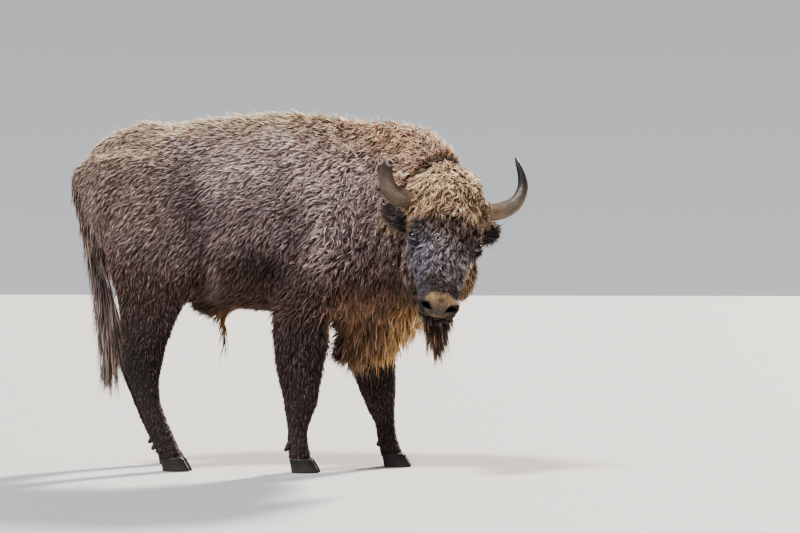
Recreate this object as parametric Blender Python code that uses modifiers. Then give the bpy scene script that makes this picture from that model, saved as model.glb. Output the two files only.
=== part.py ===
"""A life-size still model of a young bull wisent (European bison), standing with its head turned to its right.

Metres, +Z up.  +X is the way the body faces, +Y is the animal's left.  The shape is modelled whole, as overlapping masses of
flesh and coat that a voxel remesh joins, and then parted with thin cuts into the parts a person would name.
All positions below are in a working frame whose X zero is under the withers; ORIGIN_SHIFT moves it to the middle of the box.
"""

import math

import bmesh
import bpy
from mathutils import Matrix, Vector

# ---------------------------------------------------------------- driving sizes
GAP = 0.0006  # between neighbouring solids
VOXEL = 0.0105  # cell of the remesh that joins the masses
SMOOTH_STEPS = 9
BODY_TRIANGLES = 3780
DETAIL_PULL = 0.0001  # how strongly the facets gather on the head and the feet
ORIGIN_SHIFT = Vector((0.0275, 0.1235, 0.0))

CORONET_Z = 0.060  # top of the hooves
SOLE_LENGTH = 0.118
CLAW_WIDTH = 0.050
CLEFT = 0.007
DEWCLAW_BACK = {"fore": 0.064, "hind": 0.084}  # behind the middle of the foot

HEAD_CENTRE = Vector((0.716, -0.420, 1.038))  # midway between the eyes
HEAD_TURN = math.radians(-74.0)  # heading of the muzzle, from +X
HEAD_PITCH = math.radians(26.0)  # face line from the vertical
HEAD_ROLL = math.radians(-10.0)
EYE_RADIUS = 0.020

# Trunk, coat included: x, top, widest height, bottom, half width, how much the upper part narrows
TRUNK = [
    (-1.045, 1.405, 1.34, 1.27, 0.060, 0.2),
    (-1.015, 1.440, 1.31, 1.17, 0.125, 0.3),
    (-0.960, 1.505, 1.26, 1.04, 0.180, 0.4),
    (-0.860, 1.573, 1.22, 0.90, 0.225, 0.5),
    (-0.720, 1.620, 1.18, 0.81, 0.255, 0.5),
    (-0.600, 1.600, 1.14, 0.79, 0.275, 0.38),
    (-0.480, 1.622, 1.10, 0.765, 0.298, 0.42),
    (-0.340, 1.638, 1.08, 0.728, 0.318, 0.48),
    (-0.180, 1.652, 1.06, 0.715, 0.325, 0.52),
    (-0.020, 1.658, 1.05, 0.695, 0.315, 0.56),
    (0.120, 1.642, 1.05, 0.660, 0.300, 0.58),
    (0.260, 1.618, 1.05, 0.640, 0.280, 0.58),
    (0.380, 1.585, 1.06, 0.650, 0.245, 0.55),
    (0.470, 1.500, 1.08, 0.720, 0.190, 0.50),
    (0.530, 1.350, 1.08, 0.830, 0.110, 0.40),
]

# Neck and its mane: centre, heading, rise, drop, half width
NECK = [
    ((0.240, 0.000, 1.120), 0.0, 0.492, 0.455, 0.235),
    ((0.400, -0.025, 1.125), -14.0, 0.478, 0.470, 0.235),
    ((0.530, -0.085, 1.130), -34.0, 0.448, 0.455, 0.220),
    ((0.622, -0.170, 1.130), -54.0, 0.400, 0.400, 0.200),
    ((0.692, -0.255, 1.120), -66.0, 0.335, 0.300, 0.158),
    ((0.708, -0.325, 1.090), -74.0, 0.265, 0.220, 0.120),
]

# Legs, coat included: z, x of the middle, half length fore and aft, y of the middle, half width.
# The right legs are the near ones; the left foreleg is a step ahead and the left hind leg a little behind.
FORE_RIGHT = [
    (1.150, 0.150, 0.170, -0.165, 0.085),
    (0.980, 0.130, 0.195, -0.205, 0.095),
    (0.830, 0.085, 0.185, -0.215, 0.100),
    (0.700, 0.050, 0.158, -0.210, 0.094),
    (0.573, 0.036, 0.130, -0.200, 0.084),
    (0.500, 0.028, 0.116, -0.195, 0.079),
    (0.416, 0.028, 0.100, -0.190, 0.072),
    (0.330, 0.030, 0.081, -0.186, 0.066),
    (0.262, 0.023, 0.066, -0.182, 0.055),
    (0.195, 0.015, 0.047, -0.179, 0.045),
    (0.135, 0.014, 0.049, -0.177, 0.050),
    (0.085, 0.022, 0.051, -0.176, 0.053),
    (0.040, 0.034, 0.050, -0.175, 0.050),
]
FORE_LEFT_LEAN = [(1.150, 0.080), (0.980, 0.120), (0.830, 0.170), (0.700, 0.215), (0.573, 0.250), (0.416, 0.282), (0.330, 0.298), (0.262, 0.318), (0.195, 0.345), (0.085, 0.362), (0.040, 0.366)]
HIND_RIGHT = [
    (1.440, -0.740, 0.190, -0.120, 0.090),
    (1.273, -0.735, 0.230, -0.150, 0.108),
    (1.090, -0.690, 0.222, -0.168, 0.112),
    (0.930, -0.660, 0.206, -0.182, 0.104),
    (0.773, -0.652, 0.168, -0.190, 0.090),
    (0.660, -0.674, 0.127, -0.192, 0.078),
    (0.569, -0.690, 0.108, -0.192, 0.069),
    (0.501, -0.697, 0.098, -0.190, 0.061),
    (0.411, -0.691, 0.073, -0.188, 0.052),
    (0.320, -0.672, 0.056, -0.186, 0.046),
    (0.230, -0.639, 0.053, -0.184, 0.045),
    (0.145, -0.604, 0.056, -0.182, 0.051),
    (0.085, -0.575, 0.054, -0.181, 0.054),
    (0.040, -0.556, 0.052, -0.180, 0.051),
]
HIND_LEFT_LEAN = [(1.440, 0.0), (1.273, -0.010), (1.090, -0.030), (0.930, -0.060), (0.773, -0.090), (0.569, -0.120), (0.411, -0.130), (0.230, -0.122), (0.085, -0.110), (0.040, -0.108)]

# Head, in its own axes: distance towards the muzzle from the eyes, face height, throat depth, half width, how much the throat narrows
HEAD = [
    (-0.335, 0.000, -0.130, 0.070, 0.1),
    (-0.315, 0.045, -0.175, 0.115, 0.1),
    (-0.270, 0.082, -0.220, 0.152, 0.1),
    (-0.200, 0.100, -0.250, 0.172, 0.1),
    (-0.120, 0.094, -0.272, 0.174, 0.2),
    (-0.050, 0.078, -0.275, 0.164, 0.25),
    (0.015, 0.056, -0.262, 0.152, 0.25),
    (0.080, 0.038, -0.240, 0.134, 0.25),
    (0.150, 0.025, -0.206, 0.112, 0.25),
    (0.215, 0.018, -0.176, 0.094, 0.25),
    (0.265, 0.016, -0.158, 0.087, 0.15),
    (0.308, -0.010, -0.150, 0.088, 0.1),
    (0.345, -0.056, -0.138, 0.074, 0.0),
    (0.362, -0.086, -0.122, 0.045, 0.0),
]

# Ear, from its root: distance out, half width, half thickness, depth of the cup
EAR = [
    (0.000, 0.030, 0.020, 0.000),
    (0.035, 0.037, 0.018, 0.008),
    (0.075, 0.047, 0.015, 0.018),
    (0.115, 0.045, 0.012, 0.018),
    (0.150, 0.030, 0.009, 0.012),
    (0.172, 0.012, 0.006, 0.003),
]

# ---------------------------------------------------------------- scene
for old in list(bpy.data.objects):
    bpy.data.objects.remove(old, do_unlink=True)
scene = bpy.context.scene
model = bpy.data.collections.new("wisent")
guides = bpy.data.collections.new("cutters")
scene.collection.children.link(model)
scene.collection.children.link(guides)


def material(name, colour, roughness, metallic=0.0):
    made = bpy.data.materials.new(name)
    made.use_nodes = True
    shader = made.node_tree.nodes["Principled BSDF"]
    shader.inputs["Base Color"].default_value = (*colour, 1.0)
    shader.inputs["Roughness"].default_value = roughness
    shader.inputs["Metallic"].default_value = metallic
    made.diffuse_color = (*colour, 1.0)
    return made


COAT = material("coat", (0.115, 0.068, 0.043), 0.85)
FACE = material("face_coat", (0.075, 0.048, 0.038), 0.85)
LEG_COAT = material("leg_coat", (0.050, 0.034, 0.030), 0.85)
TAIL_COAT = material("tail_coat", (0.070, 0.042, 0.030), 0.85)
HORN = material("horn", (0.150, 0.115, 0.085), 0.45)
HOOF = material("hoof", (0.035, 0.028, 0.025), 0.5)
EYE = material("eye", (0.012, 0.009, 0.008), 0.08)


# ---------------------------------------------------------------- shape helpers
def mesh_object(name, bm, collection=model, skin=None):
    mesh = bpy.data.meshes.new(name)
    bmesh.ops.triangulate(bm, faces=bm.faces)
    bm.normal_update()
    bm.to_mesh(mesh)
    bm.free()
    made = bpy.data.objects.new(name, mesh)
    collection.objects.link(made)
    if skin:
        mesh.materials.append(skin)
    return made


def section(centre, up, side, rise, drop, half, narrow_top=0.0, narrow_low=0.0, sides=28):
    """One closed ring: an oval with its own rise and drop, which may narrow towards the top or the bottom."""
    ring = []
    for k in range(sides):
        turn = 2 * math.pi * k / sides
        c, s = math.cos(turn), math.sin(turn)
        high = rise * c if c > 0 else drop * c
        wide = half * math.copysign(abs(s) ** 0.9, s)
        wide *= 1 - narrow_top * max(c, 0) ** 1.6 - narrow_low * max(-c, 0) ** 1.6
        ring.append(centre + up * high + side * wide)
    return ring


def loft(bm, rings):
    """Skins a run of unlike sections and closes both ends."""
    rows = [[bm.verts.new(p) for p in ring] for ring in rings]
    n = len(rows[0])
    faces = []
    for a, b in zip(rows, rows[1:]):
        faces += [bm.faces.new((a[k], a[(k + 1) % n], b[(k + 1) % n], b[k])) for k in range(n)]
    faces.append(bm.faces.new(rows[0][::-1]))
    faces.append(bm.faces.new(rows[-1]))
    bmesh.ops.recalc_face_normals(bm, faces=faces)


def ball(bm, centre, radii, turn=0.0, tip=0.0):
    """A stretched sphere: turned about Z, then tipped about Y."""
    made = bmesh.ops.create_uvsphere(bm, u_segments=20, v_segments=12, radius=1.0)
    frame = Matrix.Translation(centre) @ Matrix.Rotation(turn, 4, "Z") @ Matrix.Rotation(tip, 4, "Y") @ Matrix.Diagonal((*radii, 1.0))
    bmesh.ops.transform(bm, matrix=frame, verts=made["verts"])


def between(table, z):
    """Reads a (z, value) table at a height."""
    for (z0, v0), (z1, v1) in zip(table, table[1:]):
        if z1 <= z <= z0:
            t = (z0 - z) / (z0 - z1)
            return v0 + (v1 - v0) * t
    return table[0][1] if z > table[0][0] else table[-1][1]


def leg_rings(table, side=1, lean=None):
    rings = []
    for z, x, length, y, width in table:
        x += between(lean, z) if lean else 0.0
        rings.append(section(Vector((x, y * side, z)), Vector((1, 0, 0)), Vector((0, 1, 0)), length, length, width, sides=20))
    return rings


def evaluated_copy(source, name, collection=guides):
    """The object's shape with its modifiers made real."""
    graph = bpy.context.evaluated_depsgraph_get()
    graph.update()
    mesh = bpy.data.meshes.new_from_object(source.evaluated_get(graph))
    made = bpy.data.objects.new(name, mesh)
    made.matrix_world = source.matrix_world.copy()
    collection.objects.link(made)
    return made


def keep_outer(obj):
    """Leaves the largest connected surface, without the small voids that the overlapping masses enclose."""
    work = bmesh.new()
    work.from_mesh(obj.data)
    left = set(work.verts)
    shells = []
    while left:
        seed = left.pop()
        shell, edge_of = {seed}, [seed]
        while edge_of:
            for link in edge_of.pop().link_edges:
                for v in link.verts:
                    if v not in shell:
                        shell.add(v)
                        edge_of.append(v)
        left -= shell
        shells.append(shell)
    largest = max(shells, key=len)
    bmesh.ops.delete(work, geom=[v for v in work.verts if v not in largest], context="VERTS")
    work.to_mesh(obj.data)
    work.free()


def as_guide(obj):
    obj.hide_render = True
    obj.display_type = "WIRE"
    return obj


def boolean(obj, other, operation):
    cut = obj.modifiers.new("cut_" + other.name, "BOOLEAN")
    cut.operation = operation
    cut.object = other
    cut.solver = "EXACT"
    return cut


def swollen(source, by):
    """A copy that stands off the source by a clearance, to cut its seat with."""
    made = as_guide(evaluated_copy(source, source.name + "_clearance"))
    grow = made.modifiers.new("clearance", "DISPLACE")
    grow.strength = by
    grow.mid_level = 0.0
    return made


# ---------------------------------------------------------------- head axes
heading = Vector((math.cos(HEAD_TURN), math.sin(HEAD_TURN), 0.0))
roll = Matrix.Rotation(HEAD_ROLL, 3, heading)
HEAD_SIDE = roll @ Vector((0, 0, 1)).cross(heading)  # the animal's left
HEAD_FORE = roll @ (Vector((0, 0, -1)) * math.cos(HEAD_PITCH) + heading * math.sin(HEAD_PITCH))  # poll to muzzle
HEAD_FACE = roll @ (heading * math.cos(HEAD_PITCH) + Vector((0, 0, 1)) * math.sin(HEAD_PITCH))  # out of the forehead


def head_point(side, fore, face):
    return HEAD_CENTRE + HEAD_SIDE * side + HEAD_FORE * fore + HEAD_FACE * face


# ---------------------------------------------------------------- the whole animal, as overlapping masses
bm = bmesh.new()

rings = []
for x, top, wide_at, low, half, narrow in TRUNK:
    rings.append(section(Vector((x, 0, wide_at)), Vector((0, 0, 1)), Vector((0, 1, 0)), top - wide_at, wide_at - low, half, narrow, 0.15))
loft(bm, rings)

rings = []
for centre, turn, rise, drop, half in NECK:
    across = Vector((-math.sin(math.radians(turn)), math.cos(math.radians(turn)), 0))
    rings.append(section(Vector(centre), Vector((0, 0, 1)), across, rise, drop, half, 0.38, 0.45))
loft(bm, rings)

rings = []
for fore, face, throat, half, narrow in HEAD:
    middle = face + (throat - face) * 0.42
    rings.append(section(head_point(0, fore, middle), HEAD_FACE, HEAD_SIDE, face - middle, middle - throat, half, 0.12, narrow))
loft(bm, rings)

loft(bm, leg_rings(FORE_RIGHT))
loft(bm, leg_rings(FORE_RIGHT, -1, FORE_LEFT_LEAN))
loft(bm, leg_rings(HIND_RIGHT))
loft(bm, leg_rings(HIND_RIGHT, -1, HIND_LEFT_LEAN))

for side in (-1, 1):
    step = 0.09 if side > 0 else 0.0
    ball(bm, (-0.560, side * 0.118, 1.478), (0.105, 0.060, 0.070))  # hip bone
    ball(bm, (-1.000, side * 0.085, 1.335), (0.060, 0.050, 0.085))  # pin bone
    ball(bm, (0.170 + step, side * 0.190, 1.020), (0.210, 0.120, 0.310), tip=math.radians(-14))  # shoulder
    ball(bm, (0.330 + step * 0.6, side * 0.135, 0.885), (0.130, 0.100, 0.180))  # point of the shoulder
    ball(bm, (0.000 + step, side * 0.205, 0.800), (0.120, 0.095, 0.130))  # elbow
    ball(bm, (-0.545 - step * 0.4, side * 0.205, 0.900), (0.125, 0.085, 0.150))  # stifle
    ball(bm, (-0.745 - step * 1.3, side * 0.189, 0.478), (0.048, 0.030, 0.052))  # point of the hock
    ball(bm, (0.052 + (0.298 if side > 0 else 0.0), side * 0.186, 0.330), (0.062, 0.058, 0.062))  # knee

ball(bm, (0.360, -0.015, 0.680), (0.200, 0.105, 0.215))  # brisket mane
ball(bm, (0.455, -0.040, 0.760), (0.150, 0.110, 0.200))  # throat mane
ball(bm, (0.560, -0.180, 0.900), (0.100, 0.100, 0.150), turn=math.radians(-50))
ball(bm, (0.250, 0.000, 0.560), (0.120, 0.090, 0.120))  # hair between the forelegs
ball(bm, (-0.400, 0.000, 0.758), (0.120, 0.075, 0.070))  # sheath
bmesh.ops.create_cone(bm, cap_ends=True, segments=16, radius1=0.040, radius2=0.010, depth=0.190, matrix=Matrix.Translation((-0.360, 0, 0.650)) @ Matrix.Rotation(math.pi, 4, "X"))

# head details that are part of the flesh
for side in (-1, 1):
    ball(bm, head_point(side * 0.128, -0.018, -0.012), (0.042, 0.040, 0.042), turn=HEAD_TURN)  # brow over the eye
    ball(bm, head_point(side * 0.155, -0.185, -0.030), (0.058, 0.052, 0.058), turn=HEAD_TURN)  # horn seat
    ball(bm, head_point(side * 0.064, 0.292, -0.040), (0.036, 0.032, 0.038), turn=HEAD_TURN)  # wing of the nostril
    ball(bm, head_point(side * 0.078, 0.065, -0.165), (0.085, 0.082, 0.135), turn=HEAD_TURN)  # cheek
ball(bm, head_point(0, -0.228, -0.005), (0.120, 0.160, 0.115), turn=HEAD_TURN)  # woolly crown
ball(bm, head_point(0.010, 0.312, -0.125), (0.058, 0.062, 0.042), turn=HEAD_TURN)  # chin
ball(bm, (0.765, -0.275, 0.905), (0.075, 0.080, 0.130))  # hair under the far side of the jaw
# beard: hangs straight down from the chin
chin = head_point(0.016, 0.318, -0.130)
beard_rings = []
for down, long_, wide_ in ((-0.03, 0.055, 0.072), (0.02, 0.060, 0.076), (0.07, 0.050, 0.062), (0.12, 0.033, 0.040), (0.165, 0.012, 0.014)):
    beard_rings.append(section(chin + Vector((-0.05 * max(down, 0), 0, -down)), heading, HEAD_SIDE, long_, long_, wide_, sides=16))
loft(bm, beard_rings)

masses = as_guide(mesh_object("masses", bm, guides))
remesh = masses.modifiers.new("join", "REMESH")
remesh.mode = "VOXEL"
remesh.voxel_size = VOXEL
flow = masses.modifiers.new("soften", "SMOOTH")
flow.factor = 0.5
flow.iterations = SMOOTH_STEPS
whole = as_guide(evaluated_copy(masses, "whole"))
keep_outer(whole)

# fewer facets on the trunk than on the head and the feet
detail = whole.vertex_groups.new(name="detail")
for v in whole.data.vertices:
    near_head = (v.co - HEAD_CENTRE).length < 0.40
    detail.add([v.index], 0.55 if near_head else (0.85 if v.co.z < 0.50 else 1.0), "REPLACE")
whole.data.calc_loop_triangles()
fewer = whole.modifiers.new("fewer", "DECIMATE")
fewer.ratio = BODY_TRIANGLES / len(whole.data.loop_triangles)
fewer.vertex_group = "detail"
fewer.vertex_group_factor = DETAIL_PULL
body = as_guide(evaluated_copy(whole, "body"))
body.vertex_groups.clear()


# ---------------------------------------------------------------- cutters that part the body
def box(name, centre, size, rotation=None):
    made = bmesh.new()
    bmesh.ops.create_cube(made, size=1.0)
    frame = Matrix.Translation(centre) @ (rotation.to_4x4() if rotation else Matrix.Identity(4)) @ Matrix.Diagonal((*size, 1.0))
    bmesh.ops.transform(made, matrix=frame, verts=made.verts)
    return as_guide(mesh_object(name, made, guides))


def axes(x, y, z):
    return Matrix((x, y, z)).transposed()


def half_space(name, point, out, along, reach, widths):
    """A box that holds what lies beyond a plane, with that plane as one face. Its twin, grown by the gap, cuts the neighbour."""
    out = out.normalized()
    along = (along - out * along.dot(out)).normalized()
    third = out.cross(along)
    turned = axes(out, along, third)
    (a0, a1), (b0, b1) = widths
    pair = []
    for grow, tag in ((0.0, ""), (GAP, "_wide")):
        middle = point + out * (reach / 2 - grow) + along * (a0 + a1) / 2 + third * (b0 + b1) / 2
        pair.append(box(name + tag, middle, (reach, a1 - a0 + 2 * grow, b1 - b0 + 2 * grow), turned))
    return pair


head_cut = half_space("cut_head", HEAD_CENTRE - heading * 0.215, heading + Vector((0, 0, 0.12)), HEAD_SIDE, 0.9, ((-0.235, 0.40), (-0.75, 0.75)))
neck_cut = half_space("cut_neck", Vector((0.43, 0, 1.15)), Vector((0.93, -0.10, 0.22)), Vector((0, 1, 0)), 0.9, ((-1.2, 0.6), (-0.62, 0.75)))
FORE_CUT = {
    "right": ([(-0.150, -0.1), (0.170, -0.1), (0.170, 0.58), (0.150, 0.70), (-0.130, 0.70), (-0.150, 0.60)], (-0.45, -0.098)),
    "left": ([(0.100, -0.1), (0.500, -0.1), (0.500, 0.58), (0.420, 0.72), (0.120, 0.70), (0.100, 0.60)], (0.098, 0.45)),
}
HIND_CUT = {
    "right": ([(-1.150, -0.1), (-0.410, -0.1), (-0.410, 0.62), (-0.445, 0.80), (-0.580, 0.90), (-0.800, 1.00), (-1.150, 1.04)], (-0.45, -0.072)),
    "left": ([(-1.150, -0.1), (-0.500, -0.1), (-0.500, 0.62), (-0.510, 0.80), (-0.630, 0.90), (-0.800, 1.00), (-1.150, 1.04)], (0.072, 0.45)),
}


def prism(name, outline, span):
    """A side outline drawn out across the animal, and its twin grown by the gap."""
    made = bmesh.new()
    loft(made, [[Vector((x, y, z)) for x, z in outline] for y in span])
    first = as_guide(mesh_object(name, made, guides))
    return first, swollen(first, GAP * 1.8)


fore_cuts = {hand: prism("cut_fore_" + hand, *shape) for hand, shape in FORE_CUT.items()}
hind_cuts = {hand: prism("cut_hind_" + hand, *shape) for hand, shape in HIND_CUT.items()}
feet = {
    "fore_right": (0.034, -0.175, 0.0),
    "fore_left": (0.034 + 0.366, 0.175, math.radians(4)),
    "hind_right": (-0.556, -0.180, math.radians(-3)),
    "hind_left": (-0.556 - 0.108, 0.180, math.radians(5)),
}
ground = box("cut_coronet", Vector((0, 0, CORONET_Z - 0.5)), (4, 4, 1.0))


# ---------------------------------------------------------------- small parts that stay separate
def claw(name, x, y, turn, side):
    """One half of a cloven hoof: a flat sole, a pointed toe, an upright inner wall and a top that slopes in."""
    rings = []
    for z, shrink, back in ((0.0, 1.0, 0.0), (0.012, 1.0, -0.002), (0.034, 0.93, -0.010), (CORONET_Z - GAP, 0.82, -0.020)):
        ring = []
        for k in range(14):
            turn_k = 2 * math.pi * k / 14
            c, s = math.cos(turn_k), math.sin(turn_k)
            long_ = SOLE_LENGTH / 2 * shrink * c * (1.0 if c < 0 else 1.06)
            wide = CLAW_WIDTH / 2 * math.copysign(abs(s) ** 0.8, s) * (1 - 0.34 * max(c, 0) ** 2)
            if s * side < 0:
                wide *= 0.86
            wide = wide * (shrink if s * side > 0 else 1.0)
            ring.append(Vector((long_ + back, side * (CLAW_WIDTH + CLEFT) / 2 + wide - side * 0.006 * max(c, 0) ** 2, z)))
        rings.append(ring)
    made = bmesh.new()
    loft(made, rings)
    bmesh.ops.transform(made, matrix=Matrix.Translation((x + 0.018, y, 0)) @ Matrix.Rotation(turn, 4, "Z"), verts=made.verts)
    return mesh_object(name, made, model, HOOF)


def dewclaw(name, x, y, side):
    made = bmesh.new()
    frame = Matrix.Translation((x, y + side * 0.026, 0.112)) @ Matrix.Rotation(math.radians(35), 4, "Y")
    bmesh.ops.create_cone(made, cap_ends=True, segments=12, radius1=0.0155, radius2=0.0075, depth=0.044, matrix=frame @ Matrix.Rotation(math.pi, 4, "X"))
    return mesh_object(name, made, model, HOOF)


dewclaws = {}
for foot, (x, y, turn) in feet.items():
    inner = -1 if y > 0 else 1
    claw(f"hoof_{foot}_inner", x, y, turn, inner)
    claw(f"hoof_{foot}_outer", x, y, turn, -inner)
    heel = x - DEWCLAW_BACK[foot[:4]]
    dewclaws[foot] = [dewclaw(f"dewclaw_{foot}_inner", heel, y, inner), dewclaw(f"dewclaw_{foot}_outer", heel, y, -inner)]


def horn(name, side, seat, path):
    """A tapering horn that curls out, up and forward: side, height and forward reach from its seat, with the radius."""
    curve = bpy.data.curves.new(name + "_line", "CURVE")
    curve.dimensions = "3D"
    curve.bevel_depth = 1.0
    curve.bevel_resolution = 2
    curve.use_fill_caps = True
    spline = curve.splines.new("NURBS")
    spline.points.add(len(path) - 1)
    for point, (out, up, forward, radius) in zip(spline.points, path):
        point.co = (*head_point(side * (seat[0] + out), -seat[1] - up, -0.020 + forward), 1.0)
        point.radius = radius
    spline.order_u = 3
    spline.use_endpoint_u = True
    spline.resolution_u = 2
    line = bpy.data.objects.new(name + "_line", curve)
    guides.objects.link(line)
    made = evaluated_copy(line, name, model)
    bpy.data.objects.remove(line, do_unlink=True)
    work = bmesh.new()
    work.from_mesh(made.data)
    bmesh.ops.remove_doubles(work, verts=work.verts, dist=0.0002)
    bmesh.ops.triangulate(work, faces=work.faces)
    work.to_mesh(made.data)
    work.free()
    made.data.materials.clear()
    made.data.materials.append(HORN)
    made.data.shade_smooth()
    return made


# The left horn is pointed and upright; the right one is blunt and points forward
horns = [
    horn("horn_left", 1, (0.197, 0.190), [(-0.050, -0.010, -0.006, 0.040), (-0.010, -0.002, 0.000, 0.0405), (0.044, 0.012, 0.006, 0.0395), (0.100, 0.052, 0.022, 0.0320), (0.122, 0.122, 0.042, 0.0240), (0.107, 0.178, 0.060, 0.0185), (0.083, 0.222, 0.072, 0.0120), (0.068, 0.247, 0.078, 0.0040)]),
    horn("horn_right", -1, (0.190, 0.176), [(-0.045, 0.004, -0.006, 0.042), (-0.010, 0.002, 0.000, 0.0425), (0.055, 0.000, 0.010, 0.0405), (0.096, 0.030, 0.036, 0.0365), (0.114, 0.064, 0.066, 0.0325), (0.117, 0.086, 0.100, 0.0270), (0.112, 0.090, 0.126, 0.0215), (0.110, 0.090, 0.137, 0.0120)]),
]


def ear(name, side, stand_off=0.0):
    """A cupped, furred ear that stands out sideways below the horn. Its seat is cut with the same shape, a clearance larger."""
    root = head_point(side * 0.142, -0.088, -0.112)
    out = (HEAD_SIDE * side * 0.70 - HEAD_FORE * 0.64 - HEAD_FACE * 0.27).normalized()
    face = HEAD_FACE * 0.80 + HEAD_FORE * 0.45
    face = (face - out * face.dot(out)).normalized()
    wide = out.cross(face)
    rings = []
    for along, half, thick, cup in EAR:
        along += stand_off * (-1 if along == 0 else 0.3)
        ring = []
        for k in range(16):
            turn_k = 2 * math.pi * k / 16
            c, s = math.cos(turn_k), math.sin(turn_k)
            ring.append(root + out * along + wide * ((half + stand_off) * c) + face * ((thick + stand_off) * s + cup * (c * c - 0.5)))
        rings.append(ring)
    made = bmesh.new()
    loft(made, rings)
    if stand_off:
        return as_guide(mesh_object(name, made, guides))
    return mesh_object(name, made, model, FACE)


ears = [ear("ear_left", 1), ear("ear_right", -1)]
ear_seats = [ear("cut_ear_left", 1, GAP * 1.5), ear("cut_ear_right", -1, GAP * 1.5)]

eyes = []
for name, side in (("eye_left", 1), ("eye_right", -1)):
    made = bmesh.new()
    bmesh.ops.create_uvsphere(made, u_segments=12, v_segments=8, radius=EYE_RADIUS, matrix=Matrix.Translation(head_point(side * 0.143, -0.002, -0.024)))
    eye = mesh_object(name, made, model, EYE)
    eye.data.shade_smooth()
    eyes.append(eye)

# ---------------------------------------------------------------- tail
TAIL = [  # x, z, half length, half width: the dock, then the long hair
    (-1.005, 1.395, 0.040, 0.036),
    (-1.060, 1.350, 0.042, 0.034),
    (-1.072, 1.250, 0.036, 0.032),
    (-1.028, 1.140, 0.036, 0.034),
    (-0.982, 1.000, 0.040, 0.038),
    (-0.944, 0.880, 0.046, 0.044),
    (-0.920, 0.770, 0.052, 0.050),
    (-0.906, 0.660, 0.055, 0.050),
    (-0.902, 0.550, 0.046, 0.042),
    (-0.910, 0.460, 0.030, 0.028),
    (-0.918, 0.395, 0.010, 0.010),
]
rings = []
for i, (x, z, long_, wide) in enumerate(TAIL):
    x0, z0 = TAIL[max(i - 1, 0)][:2]
    x1, z1 = TAIL[min(i + 1, len(TAIL) - 1)][:2]
    run = Vector((x1 - x0, 0, z1 - z0)).normalized()
    rings.append(section(Vector((x, 0, z)), run.cross(Vector((0, 1, 0))), Vector((0, 1, 0)), long_, long_, wide, sides=14))
made = bmesh.new()
loft(made, rings)
tail = mesh_object("tail", made, model, TAIL_COAT)

made = bmesh.new()
for side in (-1, 1):
    frame = Matrix.Translation(head_point(side * 0.050, 0.326, -0.020)) @ Matrix.Rotation(HEAD_TURN, 4, "Z") @ Matrix.Diagonal((0.022, 0.013, 0.017, 1.0))
    bmesh.ops.create_uvsphere(made, u_segments=8, v_segments=6, radius=1.0, matrix=frame)
nostrils = as_guide(mesh_object("cut_nostrils", made, guides))

# ---------------------------------------------------------------- parting the body


def part(name, skin):
    made = bpy.data.objects.new(name, body.data.copy())
    made.data.materials.clear()
    made.data.materials.append(skin)
    model.objects.link(made)
    return made


head = part("head", FACE)
boolean(head, head_cut[0], "INTERSECT")
for seat in horns + eyes:
    boolean(head, swollen(seat, GAP * 1.2), "DIFFERENCE")
for seat in ear_seats:
    boolean(head, seat, "DIFFERENCE")
boolean(head, nostrils, "DIFFERENCE")

neck = part("neck", COAT)
boolean(neck, neck_cut[0], "INTERSECT")
boolean(neck, head_cut[1], "DIFFERENCE")
for seat in ear_seats:
    boolean(neck, seat, "DIFFERENCE")

trunk = part("trunk", COAT)
for cutter in (neck_cut[1], head_cut[1], fore_cuts["right"][1], fore_cuts["left"][1], hind_cuts["right"][1], hind_cuts["left"][1], swollen(tail, GAP)):
    boolean(trunk, cutter, "DIFFERENCE")

for limb, cuts in (("fore", fore_cuts), ("hind", hind_cuts)):
    for hand in ("right", "left"):
        leg = part(f"leg_{limb}_{hand}", LEG_COAT)
        boolean(leg, cuts[hand][0], "INTERSECT")
        boolean(leg, ground, "DIFFERENCE")
        for claw_seat in dewclaws[f"{limb}_{hand}"]:
            boolean(leg, swollen(claw_seat, GAP), "DIFFERENCE")

# ---------------------------------------------------------------- to the part's own origin
for obj in model.objects:
    obj.location = obj.location + ORIGIN_SHIFT
for obj in guides.objects:
    obj.location = obj.location + ORIGIN_SHIFT
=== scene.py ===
"""Looks of the life-size wisent: one skin over the flesh, a coat of mesh tufts, eyes, horns, hooves and dewclaws.

The skin is the CAD flesh joined into one surface and drawn in by the depth of the coat.  Every tuft is a thin closed
solid that grows from the skin, follows the lie of the coat and carries the colour of its place.
"""

import math

import bmesh
import bpy
import numpy as np
from mathutils import Matrix, Vector
from mathutils.bvhtree import BVHTree


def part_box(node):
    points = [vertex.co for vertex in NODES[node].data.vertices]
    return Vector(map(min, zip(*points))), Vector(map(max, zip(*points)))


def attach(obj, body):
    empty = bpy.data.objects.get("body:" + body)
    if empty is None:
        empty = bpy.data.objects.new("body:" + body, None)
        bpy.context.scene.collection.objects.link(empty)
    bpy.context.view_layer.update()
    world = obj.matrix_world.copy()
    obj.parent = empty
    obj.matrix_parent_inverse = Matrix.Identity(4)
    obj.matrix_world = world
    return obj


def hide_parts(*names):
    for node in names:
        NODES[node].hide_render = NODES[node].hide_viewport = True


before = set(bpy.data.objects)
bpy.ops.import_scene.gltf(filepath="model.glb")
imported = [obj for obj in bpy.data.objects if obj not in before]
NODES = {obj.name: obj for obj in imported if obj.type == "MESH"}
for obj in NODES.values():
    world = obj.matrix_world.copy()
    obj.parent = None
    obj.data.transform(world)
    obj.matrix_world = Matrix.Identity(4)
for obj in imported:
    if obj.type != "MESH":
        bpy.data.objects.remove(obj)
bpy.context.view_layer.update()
RNG = np.random.default_rng(1904)
SHIFT = np.array([0.0275, 0.1235, 0.0])  # the part's origin, seen from a point on the floor under the withers

FLESH = ["head", "neck", "trunk", "leg_fore_right", "leg_fore_left", "leg_hind_right", "leg_hind_left", "tail"]
CELL = 0.0132  # cell of the skin away from the face


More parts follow.
